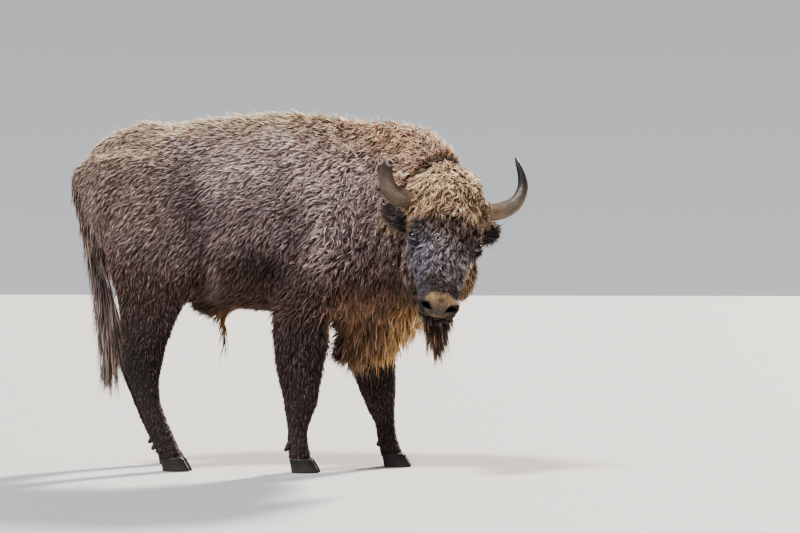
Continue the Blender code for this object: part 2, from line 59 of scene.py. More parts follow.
# ---------------------------------------------------------------- small maths
def unit(v):
    v = np.asarray(v, float)
    return v / np.maximum(np.linalg.norm(v, axis=-1, keepdims=True), 1e-12)


def ramp(v, a, b):
    t = np.clip((v - a) / (b - a), 0.0, 1.0)
    return t * t * (3 - 2 * t)


def bell(v, middle, width):
    return np.exp(-(((v - middle) / width) ** 2))


def mix(a, b, t):
    a, b = np.asarray(a, float), np.asarray(b, float)
    t = np.asarray(t, float)
    if a.ndim > t.ndim or b.ndim > t.ndim or (a.shape[-1:] == (3,) and t.ndim == 1):
        t = t[..., None]
    return a + (b - a) * t


def rgb(r, g, b):
    """A display colour, 0 to 255, as the linear one that shaders take."""
    c = np.array([r, g, b], float) / 255
    return np.where(c <= 0.04045, c / 12.92, ((c + 0.055) / 1.055) ** 2.4)


def lattice(i, j, k, seed):
    h = (i * 374761393 + j * 668265263 + k * 2246822519 + seed * 3266489917) & 0xFFFFFFFF
    h = ((h ^ (h >> 15)) * 2246822519) & 0xFFFFFFFF
    h = ((h ^ (h >> 13)) * 3266489917) & 0xFFFFFFFF
    return ((h ^ (h >> 16)) & 0xFFFF) / 65535.0


def noise3(p, scale, seed=0):
    """Smooth value noise, 0 to 1."""
    q = np.asarray(p) / scale
    i = np.floor(q).astype(np.int64)
    f = q - i
    f = f * f * (3 - 2 * f)
    total = np.zeros(len(q))
    for a in (0, 1):
        for b in (0, 1):
            for c in (0, 1):
                w = (f[:, 0] if a else 1 - f[:, 0]) * (f[:, 1] if b else 1 - f[:, 1]) * (f[:, 2] if c else 1 - f[:, 2])
                total += w * lattice(i[:, 0] + a, i[:, 1] + b, i[:, 2] + c, seed)
    return total


def turned(v, axis, angle):
    """Vectors turned about unit axes."""
    c, s = np.cos(angle)[:, None], np.sin(angle)[:, None]
    return v * c + np.cross(axis, v) * s + axis * (np.sum(axis * v, axis=1, keepdims=True) * (1 - c))


# ---------------------------------------------------------------- head axes
TURN, PITCH, ROLL = math.radians(-74), math.radians(26), math.radians(-10)
heading = Vector((math.cos(TURN), math.sin(TURN), 0))
roll = Matrix.Rotation(ROLL, 3, heading)
SIDE = np.array(roll @ Vector((0, 0, 1)).cross(heading))  # the animal's left
FORE = np.array(roll @ (Vector((0, 0, -1)) * math.cos(PITCH) + heading * math.sin(PITCH)))  # poll to muzzle
FACE = np.array(roll @ (heading * math.cos(PITCH) + Vector((0, 0, 1)) * math.sin(PITCH)))  # out of the forehead
EYES = {s: np.array((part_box(n)[0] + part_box(n)[1]) / 2) for n, s in (("eye_left", 1), ("eye_right", -1))}
EYE_RADIUS = (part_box("eye_left")[1].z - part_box("eye_left")[0].z) / 2 + 0.0012
HEAD_C = (EYES[1] + EYES[-1]) / 2 + FORE * 0.002 + FACE * 0.024


def head_point(s, f, c):
    return HEAD_C + SIDE * s + FORE * f + FACE * c


def head_coords(p):
    q = p - HEAD_C
    return q @ SIDE, q @ FORE, q @ FACE


# ---------------------------------------------------------------- mesh helpers
def read_mesh(mesh):
    co = np.empty(len(mesh.vertices) * 3, np.float32)
    mesh.vertices.foreach_get("co", co)
    mesh.calc_loop_triangles()
    tris = np.empty(len(mesh.loop_triangles) * 3, np.int32)
    mesh.loop_triangles.foreach_get("vertices", tris)
    return co.reshape(-1, 3).astype(float), tris.reshape(-1, 3)


def edges_of(mesh):
    e = np.empty(len(mesh.edges) * 2, np.int32)
    mesh.edges.foreach_get("vertices", e)
    return e.reshape(-1, 2)


class Web:
    """The neighbours of a mesh's vertices, for smoothing."""

    def __init__(self, count, edges):
        self.n = count
        self.a = np.concatenate([edges[:, 0], edges[:, 1]])
        self.b = np.concatenate([edges[:, 1], edges[:, 0]])
        self.valence = np.maximum(np.bincount(self.a, minlength=count), 1).astype(float)

    def mean(self, v):
        if v.ndim == 1:
            return np.bincount(self.a, weights=v[self.b], minlength=self.n) / self.valence
        return np.stack([np.bincount(self.a, weights=v[self.b, k], minlength=self.n) / self.valence for k in range(v.shape[1])], 1)

    def diffuse(self, v, rounds, weight=None):
        for _ in range(rounds):
            moved = self.mean(v)
            if weight is None:
                v = 0.5 * v + 0.5 * moved
            else:
                w = weight if v.ndim == 1 else weight[:, None]
                v = v + 0.5 * w * (moved - v)
        return v

    def taubin(self, co, rounds, weight=None):
        w = 1.0 if weight is None else weight[:, None]
        for _ in range(rounds):
            co = co + 0.55 * w * (self.mean(co) - co)
            co = co - 0.575 * w * (self.mean(co) - co)
        return co


def normals_of(co, tris):
    n = np.cross(co[tris[:, 1]] - co[tris[:, 0]], co[tris[:, 2]] - co[tris[:, 0]])
    out = np.zeros_like(co)
    for corner in range(3):
        for k in range(3):
            out[:, k] += np.bincount(tris[:, corner], weights=n[:, k], minlength=len(co))
    return unit(out)


def new_mesh(name, co, faces, sizes=None):
    """faces is an (m, 3 or 4) array, or a flat list of corners with the number in each face."""
    mesh = bpy.data.meshes.new(name)
    if sizes is None:
        sizes = np.full(len(faces), faces.shape[1], np.int32)
        faces = faces.reshape(-1)
    starts = np.concatenate([[0], np.cumsum(sizes)[:-1]]).astype(np.int32)
    mesh.vertices.add(len(co))
    mesh.vertices.foreach_set("co", np.ascontiguousarray(co, np.float32).reshape(-1))
    mesh.loops.add(len(faces))
    mesh.loops.foreach_set("vertex_index", np.ascontiguousarray(faces, np.int32))
    mesh.polygons.add(len(sizes))
    mesh.polygons.foreach_set("loop_start", starts)
    mesh.update(calc_edges=True)
    mesh.shade_smooth()
    return mesh


def add_object(name, mesh, *materials):
    obj = bpy.data.objects.new(name, mesh)
    bpy.context.scene.collection.objects.link(obj)
    for m in materials:
        mesh.materials.append(m)
    return obj


def paint(mesh, name, colours):
    layer = mesh.color_attributes.new(name, "FLOAT_COLOR", "POINT")
    rgba = np.ones((len(colours), 4), np.float32)
    rgba[:, :3] = np.clip(colours, 0, 1)
    layer.data.foreach_set("color", rgba.reshape(-1))


def mark(mesh, name, values):
    layer = mesh.attributes.new(name, "FLOAT", "POINT")
    layer.data.foreach_set("value", np.ascontiguousarray(values, np.float32))


def remeshed(mesh, cell):
    work = bpy.data.objects.new("work", mesh)
    bpy.context.scene.collection.objects.link(work)
    modifier = work.modifiers.new("join", "REMESH")
    modifier.mode = "VOXEL"
    modifier.voxel_size = cell
    graph = bpy.context.evaluated_depsgraph_get()
    made = bpy.data.meshes.new_from_object(work.evaluated_get(graph))
    bpy.data.objects.remove(work, do_unlink=True)
    return made


def welded(node, grow=0.0):
    bm = bmesh.new()
    bm.from_mesh(NODES[node].data)
    bmesh.ops.remove_doubles(bm, verts=bm.verts, dist=2e-5)
    bmesh.ops.recalc_face_normals(bm, faces=bm.faces)
    bm.normal_update()
    if grow:
        for v in bm.verts:
            v.co += v.normal * grow
    mesh = bpy.data.meshes.new(node + "_welded")
    bm.to_mesh(mesh)
    bm.free()
    return mesh


# ---------------------------------------------------------------- skin, first stage: the flesh joined into one surface
all_co, all_tris, tri_label, offset = [], [], [], 0
for index, node in enumerate(FLESH):
    co, tris = read_mesh(welded(node, 0.0016))
    all_co.append(co)
    all_tris.append(tris + offset)
    tri_label.append(np.full(len(tris), index))
    offset += len(co)
all_co, all_tris, tri_label = np.concatenate(all_co), np.concatenate(all_tris), np.concatenate(tri_label)
joined = remeshed(new_mesh("flesh", all_co, all_tris), CELL)

co = np.empty(len(joined.vertices) * 3, np.float32)
joined.vertices.foreach_get("co", co)
co = co.reshape(-1, 3).astype(float)
quads = np.empty(len(joined.loops), np.int32)
joined.loops.foreach_get("vertex_index", quads)
quads = quads.reshape(-1, 4)
edges = edges_of(joined)
shell = np.arange(len(co))
while True:  # the number of the shell that each vertex is on
    low = shell.copy()
    np.minimum.at(low, edges[:, 0], shell[edges[:, 1]])
    np.minimum.at(low, edges[:, 1], shell[edges[:, 0]])
    low = low[low]
    if (low == shell).all():
        break
    shell = low
main = np.bincount(shell).argmax()
keep = shell == main
index_of = np.cumsum(keep) - 1
quads = index_of[quads[keep[quads[:, 0]]]]
co = co[keep]
base = new_mesh("skin_base", co, quads)
web = Web(len(co), edges_of(base))
co = web.taubin(co, 16)
base.vertices.foreach_set("co", co.astype(np.float32).reshape(-1))
base.update()

flesh_tree = BVHTree.FromPolygons([tuple(p) for p in all_co], [tuple(t) for t in all_tris.tolist()])


def labels_at(points):
    found = np.empty(len(points), int)
    for i, p in enumerate(points):
        found[i] = tri_label[flesh_tree.find_nearest(p)[2]]
    return found


# ---------------------------------------------------------------- pieces of the coat, and the unwrap of each
PIECES = [
    "coat_face", "coat_crown", "coat_neck_right", "coat_neck_left",
    "coat_trunk_right_fore", "coat_trunk_right_middle", "coat_trunk_right_rear",
    "coat_trunk_left_fore", "coat_trunk_left_middle", "coat_trunk_left_rear",
    "coat_leg_fore_right", "coat_leg_fore_left", "coat_leg_hind_right", "coat_leg_hind_left", "coat_tail",
]
centres = co[quads].mean(axis=1)
face_label = labels_at(centres)
s, f, c = head_coords(centres)
local = centres - SHIFT
piece = np.full(len(quads), 4)
is_head, is_neck = face_label == 0, face_label == 1
piece[is_head] = np.where(f[is_head] > -0.035, 0, 1)
neck_side = local[:, 1] + 0.25 * np.maximum(local[:, 0] - 0.35, 0) * 3.0
piece[is_neck] = np.where(neck_side[is_neck] > 0, 3, 2)
is_trunk = face_label == 2
band = np.digitize(-local[:, 0], [0.02, 0.50])
piece[is_trunk] = (4 + band + 3 * (local[:, 1] > 0))[is_trunk]
for label in (3, 4, 5, 6, 7):
    piece[face_label == label] = label + 7

holder = add_object("skin_base", base)
base.uv_layers.new(name="unwrap")
bpy.context.view_layer.objects.active = holder
holder.select_set(True)
for number in range(len(PIECES)):
    base.polygons.foreach_set("select", piece == number)
    base.update()
    bpy.ops.object.mode_set(mode="EDIT")
    bpy.context.tool_settings.mesh_select_mode = (False, False, True)
    bpy.ops.uv.smart_project(angle_limit=math.radians(66), island_margin=0.004, area_weight=0.0, correct_aspect=False, scale_to_bounds=False)
    bpy.ops.object.mode_set(mode="OBJECT")
attribute = base.attributes.new("piece", "INT", "FACE")
attribute.data.foreach_set("value", piece.astype(np.int32))

# ---------------------------------------------------------------- skin, second stage: a finer mesh on the face
bm = bmesh.new()
bm.from_mesh(base)
bpy.data.objects.remove(holder, do_unlink=True)
eye_at = [Vector(EYES[1]), Vector(EYES[-1])]
nose_at = Vector(head_point(0, 0.325, -0.05))
side_v, fore_v, face_v, head_v = Vector(SIDE), Vector(FORE), Vector(FACE), Vector(HEAD_C)


def in_face(p, reach):
    q = p - head_v
    return reach < q.dot(fore_v) < 0.42 and q.dot(face_v) > -0.155 and abs(q.dot(side_v)) < 0.21


def near_eye(p, reach):
    return min((p - eye_at[0]).length, (p - eye_at[1]).length) < reach


def near_nose(p, reach):
    q = p - head_v
    return q.dot(fore_v) > reach and q.dot(face_v) > -0.100 and abs(q.dot(side_v)) < 0.12 and (p - nose_at).length < 0.14


LEVELS = [
    lambda p: in_face(p, -0.09),
    lambda p: in_face(p, -0.045) and (p - head_v).dot(face_v) > -0.11,
    lambda p: near_eye(p, 0.044) or near_nose(p, 0.268),
    lambda p: near_eye(p, 0.031),
]
for level, test in enumerate(LEVELS):
    chosen = {e for face in bm.faces if test(face.calc_center_median()) for e in face.edges}
    bmesh.ops.subdivide_edges(bm, edges=list(chosen), cuts=1, use_grid_fill=True)
    bm.verts.ensure_lookup_table()
    bm.verts.index_update()
    points = np.array([v.co for v in bm.verts])
    links = np.array([(e.verts[0].index, e.verts[1].index) for e in bm.edges])
    active = np.zeros(len(points))
    for e in chosen:
        if e.is_valid:
            active[e.verts[0].index] = active[e.verts[1].index] = 1
    for face in bm.faces:
        if test(face.calc_center_median()):
            for v in face.verts:
                active[v.index] = 1
    points = Web(len(points), links).taubin(points, 8 if level < 2 else 5, active)
    for v, p in zip(bm.verts, points):
        v.co = p
bmesh.ops.triangulate(bm, faces=bm.faces)
fine = bpy.data.meshes.new("skin_fine")
bm.to_mesh(fine)
bm.free()

outer, tris = read_mesh(fine)
web = Web(len(outer), edges_of(fine))
corner_uv = np.empty(len(fine.loops) * 2, np.float32)
fine.uv_layers["unwrap"].data.foreach_get("uv", corner_uv)
corner_uv = corner_uv.reshape(-1, 2)
tri_uv = corner_uv.reshape(-1, 3, 2)
corners = np.empty(len(fine.loops), np.int32)
fine.loops.foreach_get("vertex_index", corners)
tris = corners.reshape(-1, 3)
tri_piece = np.empty(len(fine.polygons), np.int32)
fine.attributes["piece"].data.foreach_get("value", tri_piece)

# ---------------------------------------------------------------- what grows where
vertex_label = labels_at(outer)
share = np.zeros((len(outer), 6))  # head, neck, trunk, forelegs, hind legs, tail
for label, column in zip(range(8), (0, 1, 2, 3, 3, 4, 4, 5)):
    share[vertex_label == label, column] = 1
share = web.diffuse(share, 26)
share /= share.sum(axis=1, keepdims=True)
W_HEAD, W_NECK, W_TRUNK, W_FORE, W_HIND, W_TAIL = share.T
x, y, z = (outer - SHIFT).T
s, f, c = head_coords(outer)
COUNT = len(outer)
ONE = np.ones(COUNT)

ridge = ramp(z, 1.50, 1.63)
front = ramp(x, -0.15, 0.30)
rump = 1 - ramp(x, -0.95, -0.62)
belly = 1 - ramp(z, 0.74, 0.88)
brisket = (1 - ramp(z, 0.60, 0.92)) * ramp(x, 0.12, 0.28)
sheath = np.exp(-(((x + 0.335) / 0.075) ** 2 + (y / 0.060) ** 2)) * (1 - ramp(z, 0.70, 0.78))
throat = 1 - ramp(z, 0.80, 1.10)
mane_top = ramp(z, 1.36, 1.50)
crown = (1 - ramp(f, -0.165, -0.070)) * ramp(c, -0.26, -0.14)
BROKEN = noise3(outer, 0.045, 91) * 0.6 + noise3(outer, 0.020, 92) * 0.4
DOME = ((s + 0.03) / 0.175) ** 2 + ((f + 0.15) / 0.215) ** 2  # 1 along the edge of the crown
dome = 1 - ramp(DOME + 0.30 * (BROKEN - 0.5), 0.88, 1.12) * ramp(-f, 0.13, 0.20)
brink = np.exp(-(((DOME - 1.24) / 0.16) ** 2)) * ramp(-f, 0.15, 0.24) * ramp(z, 1.10, 1.20) * (W_HEAD + W_NECK)  # the fold between crown and mane
brow_edge = np.exp(-(((DOME - 0.85) / 0.20) ** 2)) * ramp(-f, 0.15, 0.24) * W_HEAD
muzzle = ramp(f, 0.17, 0.27)
cheek = (1 - ramp(c, -0.13, -0.06)) * (1 - ramp(f, 0.18, 0.24))
beard = (1 - ramp(c + 0.35 * (0.33 - f), -0.098, -0.074)) * ramp(f, 0.13, 0.22)
flanks = ramp(np.abs(y), 0.10, 0.18)
hollow = np.exp(-(((x + 0.150 + 0.25 * (z - 0.93)) / 0.120) ** 2 + ((z - 0.915) / 0.095) ** 2)) * ramp(np.abs(y), 0.06, 0.14)  # under the ribs, in front of the stifle
loin = np.exp(-(((x + 0.480 + 0.20 * (z - 1.30)) / 0.085) ** 2)) * ramp(z, 0.90, 1.10) * (1 - ramp(z, 1.40, 1.50)) * flanks  # in front of the thigh
stifle = np.exp(-(((x + 0.345 - 0.14 * (z - 0.93)) / 0.040) ** 2)) * ramp(z, 0.72, 0.80) * (1 - ramp(z, 1.06, 1.20)) * ramp(np.abs(y), 0.06, 0.12)
haunch = np.exp(-(((x + 0.86 - 0.35 * (z - 1.15)) / 0.045) ** 2)) * ramp(z, 0.90, 1.05) * (1 - ramp(z, 1.28, 1.42)) * flanks
shoulder = np.exp(-(((x - 0.01 + 0.22 * (z - 1.1)) / 0.050) ** 2)) * ramp(z, 0.82, 0.95) * (1 - ramp(z, 1.40, 1.55)) * flanks
painted_barrel_highlight = np.exp(-(((x - 0.155) / 0.085) ** 2 + ((z - 1.13) / 0.17) ** 2)) * flanks
hip = np.exp(-(((x + 0.60) / 0.060) ** 2 + ((z - 1.485) / 0.050) ** 2)) * ramp(np.abs(y), 0.06, 0.12)


def blended(head, neck, trunk, fore, hind, tail):
    """One field over the whole skin from what each part says, mixed where parts meet."""
    rows = [np.broadcast_to(np.asarray(v, float), (COUNT,) + np.shape(v)[1:] if np.ndim(v) and np.shape(v)[0] == COUNT else (COUNT,)) if np.ndim(v) != 1 or np.shape(v)[0] == COUNT else np.broadcast_to(v, (COUNT, len(v))) for v in (head, neck, trunk, fore, hind, tail)]
    total = 0
    for k, row in enumerate(rows):
        w = share[:, k]
        total = total + row * (w[:, None] if row.ndim == 2 else w)
    return total


# length of a tuft
face_length = mix(mix(mix(0.044, 0.035, ramp(f, -0.07, 0.02)), 0.030, ramp(f, 0.06, 0.17)), 0.0150, ramp(f, 0.17, 0.25))
head_length = mix(face_length, 0.034, cheek)
head_length = mix(head_length, 0.054, crown)
head_length = mix(head_length, np.minimum(mix(0.048, 0.092, ramp(f, 0.20, 0.28)), np.maximum((z - 0.521) * 1.1 + 0.010, 0.015)) * (1 - 0.26 * ramp(np.abs(s), 0.034, 0.080)), beard)
neck_length = mix(mix(0.052, 0.056, mane_top), 0.088, throat)
trunk_length = 0.037 + 0.010 * front + 0.012 * ridge + 0.010 * belly + 0.014 * stifle
trunk_length = mix(mix(trunk_length, 0.088, brisket), 0.080, sheath)
fore_length = mix(mix(mix(0.018, 0.023, ramp(z, 0.22, 0.36)), 0.036, ramp(z, 0.36, 0.56)), 0.050, ramp(z, 0.56, 0.80))
hind_length = mix(mix(0.018, 0.023, ramp(z, 0.38, 0.58)), 0.036, ramp(z, 0.58, 0.90))
tail_length = np.minimum(mix(0.20, 0.055, ramp(z, 0.95, 1.32)), (z - 0.385) * 1.05 + 0.020)
LENGTH = blended(head_length, neck_length, trunk_length, fore_length, hind_length, tail_length)

# how far a tuft stands off the skin, in degrees
head_lift = mix(mix(mix(24, 18, muzzle), 22, cheek), 24, crown)
head_lift = mix(head_lift, 14, beard)
neck_lift = mix(mix(24, 30, mane_top), 17, throat)
trunk_lift = 18 + 4 * front + 10 * ridge - 1 * rump
trunk_lift = mix(mix(trunk_lift, 14, brisket), 12, sheath)
LIFT = np.radians(blended(head_lift, neck_lift, trunk_lift, mix(13, 22, ramp(z, 0.3, 0.7)), mix(13, 18, ramp(z, 0.3, 0.7)), mix(10, 16, ramp(z, 1.0, 1.3))))

CURL = blended(mix(mix(mix(0.18, 0.40, 1 - ramp(f, 0.12, 0.24)), 0.36, cheek), 1.10, crown) * (1 - 0.6 * beard), mix(0.85, 0.40, throat), mix(0.24 + 0.34 * front, 0.30, brisket), mix(0.10, 0.40, ramp(z, 0.4, 0.7)), mix(0.10, 0.25, ramp(z, 0.4, 0.8)), mix(0.16, 0.10, ramp(z, 0.8, 1.2)))
WEIGHT = blended(mix(mix(0.05 * ONE, 0.15, crown), 0.42, beard), mix(0.20, 0.9, throat), mix(mix(0.05 * ONE, 0.9, brisket), 0.9, sheath), 0.15, 0.1, 0.8)  # how much a tuft hangs
WIDTH = blended(mix(mix(mix(0.0052, 0.0035, ramp(f, 0.0, 0.20)), mix(0.0050, 0.0066, crown), np.maximum(crown, cheek)), 0.0040, beard), mix(0.0058 * ONE, 0.0058, throat), mix(0.0056 + 0.0004 * front, 0.0058, brisket), mix(0.0056, 0.0062, ramp(z, 0.3, 0.6)), mix(0.0056, 0.0060, ramp(z, 0.35, 0.7)), 0.0056)
DENSITY = blended(mix(mix(mix(34000, 60000, ramp(f, 0.04, 0.20)), 24000, cheek), mix(16800 * ONE, 24000, beard), np.maximum(crown, beard)), mix(18000, 13500, throat), mix(mix(19500 - 2600 * front, 12000, brisket), 26000, sheath), mix(25000, 12500, ramp(z, 0.20, 0.42)), mix(25000, 12800, ramp(z, 0.20, 0.42)), 13000)
STRAY = np.radians(blended(mix(mix(mix(12, 38, 1 - muzzle), 28, cheek), 33, crown) - 6 * beard, mix(50, 26, throat), mix(17 + 20 * front, 24, brisket), mix(12, 24, ramp(z, 0.4, 0.7)), mix(12, 18, ramp(z, 0.4, 0.7)), 10))

# lie of the coat
down = np.array([0.0, 0.0, -1.0])
slope = np.radians(np.interp(z, [0.70, 0.85, 1.00, 1.20, 1.45, 1.62], [72, 66, 50, 38, 24, 8]) + 16 * ramp(x, 0.05, 0.35) + 26 * rump * (1 - ridge))
trunk_flow = np.stack([-np.cos(slope), np.zeros(COUNT), -np.sin(slope)], 1)
trunk_flow = mix(trunk_flow, down, np.maximum(brisket, sheath))
trunk_flow = mix(trunk_flow, unit([-1.0, 0.0, -0.25]), belly * (1 - np.maximum(brisket, sheath)) * 0.8)
neck_flow = unit(mix(unit([-0.42, 0.10, -0.92]) * ONE[:, None], down, throat) + np.outer(mane_top, [-0.55, -0.25, 0.25]))
from_crown = outer - head_point(0, -0.275, -0.05)
crown_flow = unit(unit(from_crown) + FORE * 0.45)
face_flow = unit(FORE[None, :] + np.outer(s * 2.2, SIDE) + down * 0.10)
cheek_flow = unit(FORE * 0.45 + down * 0.8 - FACE * 0.25)
head_flow = mix(face_flow, np.broadcast_to(cheek_flow, (COUNT, 3)), cheek)
head_flow = mix(head_flow, crown_flow, 1 - ramp(f, -0.10, 0.05))
head_flow = mix(head_flow, unit(down[None, :] + np.outer(s * 7.0, SIDE)), beard)
tail_flow = unit(np.stack([np.interp(z, [0.4, 0.9, 1.05, 1.2, 1.3, 1.4], [0.0, 0.12, 0.28, 0.34, 0.0, -0.9]), np.zeros(COUNT), -ONE], 1))
FLOW = blended(unit(head_flow), neck_flow, trunk_flow, unit([-0.22, 0, -1.0]), unit([-0.18, 0, -1.0]), tail_flow)

# colours: near the root, along the middle and at the tip
C = {name: rgb(*value) for name, value in {
    "upper": (136, 117, 116), "upper_tip": (204, 187, 190), "flank": (100, 82, 82), "flank_tip": (162, 144, 148),
    "ridge": (146, 124, 112), "ridge_tip": (216, 196, 178), "rump": (118, 99, 94), "rump_tip": (166, 148, 142),
    "low": (64, 46, 43), "low_tip": (112, 88, 82), "brisket": (134, 102, 84), "brisket_tip": (206, 170, 144),
    "apron": (178, 140, 102), "apron_tip": (240, 202, 156), "sheath": (118, 88, 58), "sheath_tip": (168, 134, 92),
    "mane": (110, 90, 86), "mane_tip": (170, 150, 148), "mane_top": (142, 116, 102), "mane_top_tip": (204, 176, 156),
    "nape": (53, 39, 34), "nape_tip": (88, 69, 60),
    "crown": (156, 129, 108), "crown_tip": (222, 194, 168), "brow": (51, 40, 37), "brow_tip": (113, 95, 90),
    "face": (92, 83, 89), "face_tip": (200, 192, 206), "muzzle": (68, 57, 58), "muzzle_tip": (140, 128, 132),
    "cheek": (84, 70, 69), "cheek_tip": (168, 150, 148), "beard": (38, 28, 26), "beard_tip": (124, 98, 82),
    "fleg": (58, 44, 45), "fleg_tip": (104, 85, 84), "hleg": (54, 42, 44), "hleg_tip": (94, 78, 78),
    "thigh": (88, 67, 64), "thigh_tip": (140, 116, 112), "tail": (78, 64, 64), "tail_tip": (172, 154, 150),
    "nose": (102, 86, 78), "nose_lit_top": (156, 128, 92), "dark": (15, 11, 11), "lid": (60, 54, 61), "lip": (44, 34, 32),
}.items()}


def everywhere(name):
    return np.broadcast_to(C[name], (COUNT, 3))


# Painted light: the golden glow of backlit hair on the front and right of the brisket and low neck, carried by the
# apron colours.
BACKLIT_GOLD_LIGHT = ramp(x + 0.5 * (0.64 - z), 0.36, 0.47) * (1 - ramp(y, 0.03, 0.12))


def coat_colours(tag):
    # Paler along the back and darker low on the body: partly the coat's own colour, partly painted light along the top
    # and painted shade low down.
    trunk = mix(everywhere("flank" + tag), C["upper" + tag], ramp(z, 1.14, 1.40))
    trunk = mix(trunk, C["rump" + tag], (1 - ramp(x + 0.25 * (z - 1.2) + 0.08 * (BROKEN - 0.5), -0.62, -0.42)) * ramp(z, 0.95, 1.2))
    trunk = mix(trunk, C["low" + tag], 1 - ramp(z, 0.80, 1.08))
    trunk = mix(trunk, C["ridge" + tag], ridge)
    trunk = mix(trunk, C["mane_top" + tag], 0.75 * ramp(x + 0.10 * (BROKEN - 0.5), -0.02, 0.34) * ramp(z, 1.34, 1.52))
    # Painted highlight: a paler patch on the front of the barrel behind the shoulder.
    trunk = mix(trunk, C["upper" + tag], 0.85 * painted_barrel_highlight)
    # Painted highlight on the point of the hip.
    trunk = mix(trunk, C["ridge" + tag], 0.6 * hip)
    trunk = mix(trunk, mix(everywhere("brisket" + tag), C["apron" + tag], BACKLIT_GOLD_LIGHT), brisket)
    trunk = mix(trunk, C["sheath" + tag], sheath)
    neck = mix(everywhere("mane" + tag), C["mane_top" + tag], mane_top)
    neck = mix(neck, C["nape" + tag], 1 - ramp(z, 0.98, 1.20))
    neck = mix(neck, C["apron" + tag], (1 - ramp(z, 0.70, 0.80)) * BACKLIT_GOLD_LIGHT)
    head = mix(everywhere("face" + tag), C["brow" + tag], 1 - ramp(f + 0.16 * (BROKEN - 0.5), -0.040, 0.085))
    head = mix(head, C["muzzle" + tag], ramp(f, 0.13, 0.22))
    head = mix(head, C["cheek" + tag], cheek)
    head = mix(head, C["mane_top" + tag], crown)
    head = mix(head, C["crown" + tag], crown * dome)
    head = mix(head, C["beard" + tag], np.maximum(beard, ramp(f, 0.20, 0.27) * (1 - ramp(c, -0.11, -0.08))))
    fore = mix(everywhere("fleg" + tag), C["low" + tag], ramp(z, 0.72, 0.95))
    hind = mix(everywhere("hleg" + tag), C["thigh" + tag], ramp(z, 0.50, 0.90))
    tail = mix(everywhere("tail" + tag), C["tail" + tag], ONE)
    return blended(head, neck, trunk, fore, hind, tail)


MID, TIP = coat_colours(""), coat_colours("_tip")
trunkish = np.clip(W_TRUNK + W_HIND + W_FORE, 0, 1)
MID = mix(MID, C["flank"], 0.75 * stifle * trunkish)
TIP = mix(TIP, C["flank_tip"], 0.75 * stifle * trunkish)
# Painted shade: darker in the hollow under the ribs, in the fold in front of the thigh (fainter on the left side, which
# gets more light), and along the haunch and the shoulder.
painted_fold_shade = (1 - np.clip(0.62 * hollow + (0.56 - 0.22 * ramp(y, -0.05, 0.05)) * loin + 0.30 * haunch + 0.24 * shoulder, 0, 0.85) * trunkish)[:, None]
MID, TIP = MID * painted_fold_shade, TIP * painted_fold_shade
upward = web.diffuse(normals_of(outer, tris), 14)[:, 2]
# Painted light: the upward-facing top of the crown made pale gold, as if lit from above and behind.
painted_crown_top_light = ramp(upward, 0.0, 0.60) * W_HEAD * crown * dome * ramp(-f, 0.14, 0.26)
# Painted light: coat facing upward along the back, neck and mane made paler, standing in for light from above and
# behind.
painted_top_light = ramp(upward, 0.30, 0.90) * (1 - 0.30 * ramp(upward, 0.86, 0.99)) * (W_TRUNK + 0.9 * W_NECK + 0.6 * W_HEAD * crown * (1 - dome)) * ramp(z, 1.2, 1.4)
MID = mix(MID, MID * np.array([1.9, 1.72, 1.5]), 0.55 * painted_top_light)
TIP = mix(TIP, rgb(238, 218, 190), 0.60 * painted_top_light)
MID, TIP = mix(MID, rgb(226, 195, 165), 0.9 * painted_crown_top_light), mix(TIP, rgb(251, 229, 204), 0.95 * painted_crown_top_light)
q_face = noise3(outer, 0.050, 81) * 0.6 + noise3(outer, 0.024, 82) * 0.4
dark_face = 0.62 * ramp(q_face, 0.42, 0.64) + 0.55 * np.exp(-(((np.abs(s) - 0.030) / 0.026) ** 2 + ((f - 0.205) / 0.030) ** 2))
dark_face = np.clip(dark_face * W_HEAD * ramp(f, -0.02, 0.04), 0, 0.8)[:, None]
MID, TIP = MID * (1 - dark_face * np.array([0.66, 0.74, 0.80])), TIP * (1 - dark_face * np.array([0.55, 0.63, 0.70]))
sunlit = (W_HEAD * ramp(s, 0.075, 0.125) * ramp(f, 0.02, 0.10) * (1 - beard))[:, None]
TIP = mix(TIP, rgb(226, 194, 166), 0.8 * sunlit[:, 0])
MID = mix(MID, rgb(118, 92, 78), 0.5 * sunlit[:, 0])
# Painted shade: a bluish skylight tint on the animal's right side of the face.
painted_blue_shade = W_HEAD * ramp(-s, 0.03, 0.11) * ramp(f, -0.09, 0.0) * ramp(c, -0.16, -0.08) * (1 - beard)
MID, TIP = mix(MID, rgb(70, 68, 90), 0.34 * painted_blue_shade), mix(TIP, rgb(142, 140, 174), 0.34 * painted_blue_shade)
patch = noise3(outer, 0.16, 3) * 0.6 + noise3(outer, 0.06, 5) * 0.4
tone = (0.74 + 0.52 * patch)[:, None]
MID, TIP = MID * tone, TIP * tone
# Painted shade in the fold between crown and mane.
MID, TIP = MID * (1 - 0.62 * brink)[:, None], TIP * (1 - 0.66 * brink)[:, None]
plain = (1 - np.clip(W_HEAD * crown * dome + 0.8 * W_TRUNK * brisket, 0, 1))[:, None]
MID = MID * (1 + plain * np.array([0.40, 0.42, 0.47]))
TIP = TIP * (1 + plain * np.array([0.20, 0.22, 0.28]))
lower = 1 - 0.24 * (np.clip(W_FORE + W_HIND, 0, 1) * (1 - ramp(z, 0.85, 1.10)))[:, None]
MID, TIP = MID * lower, TIP * lower
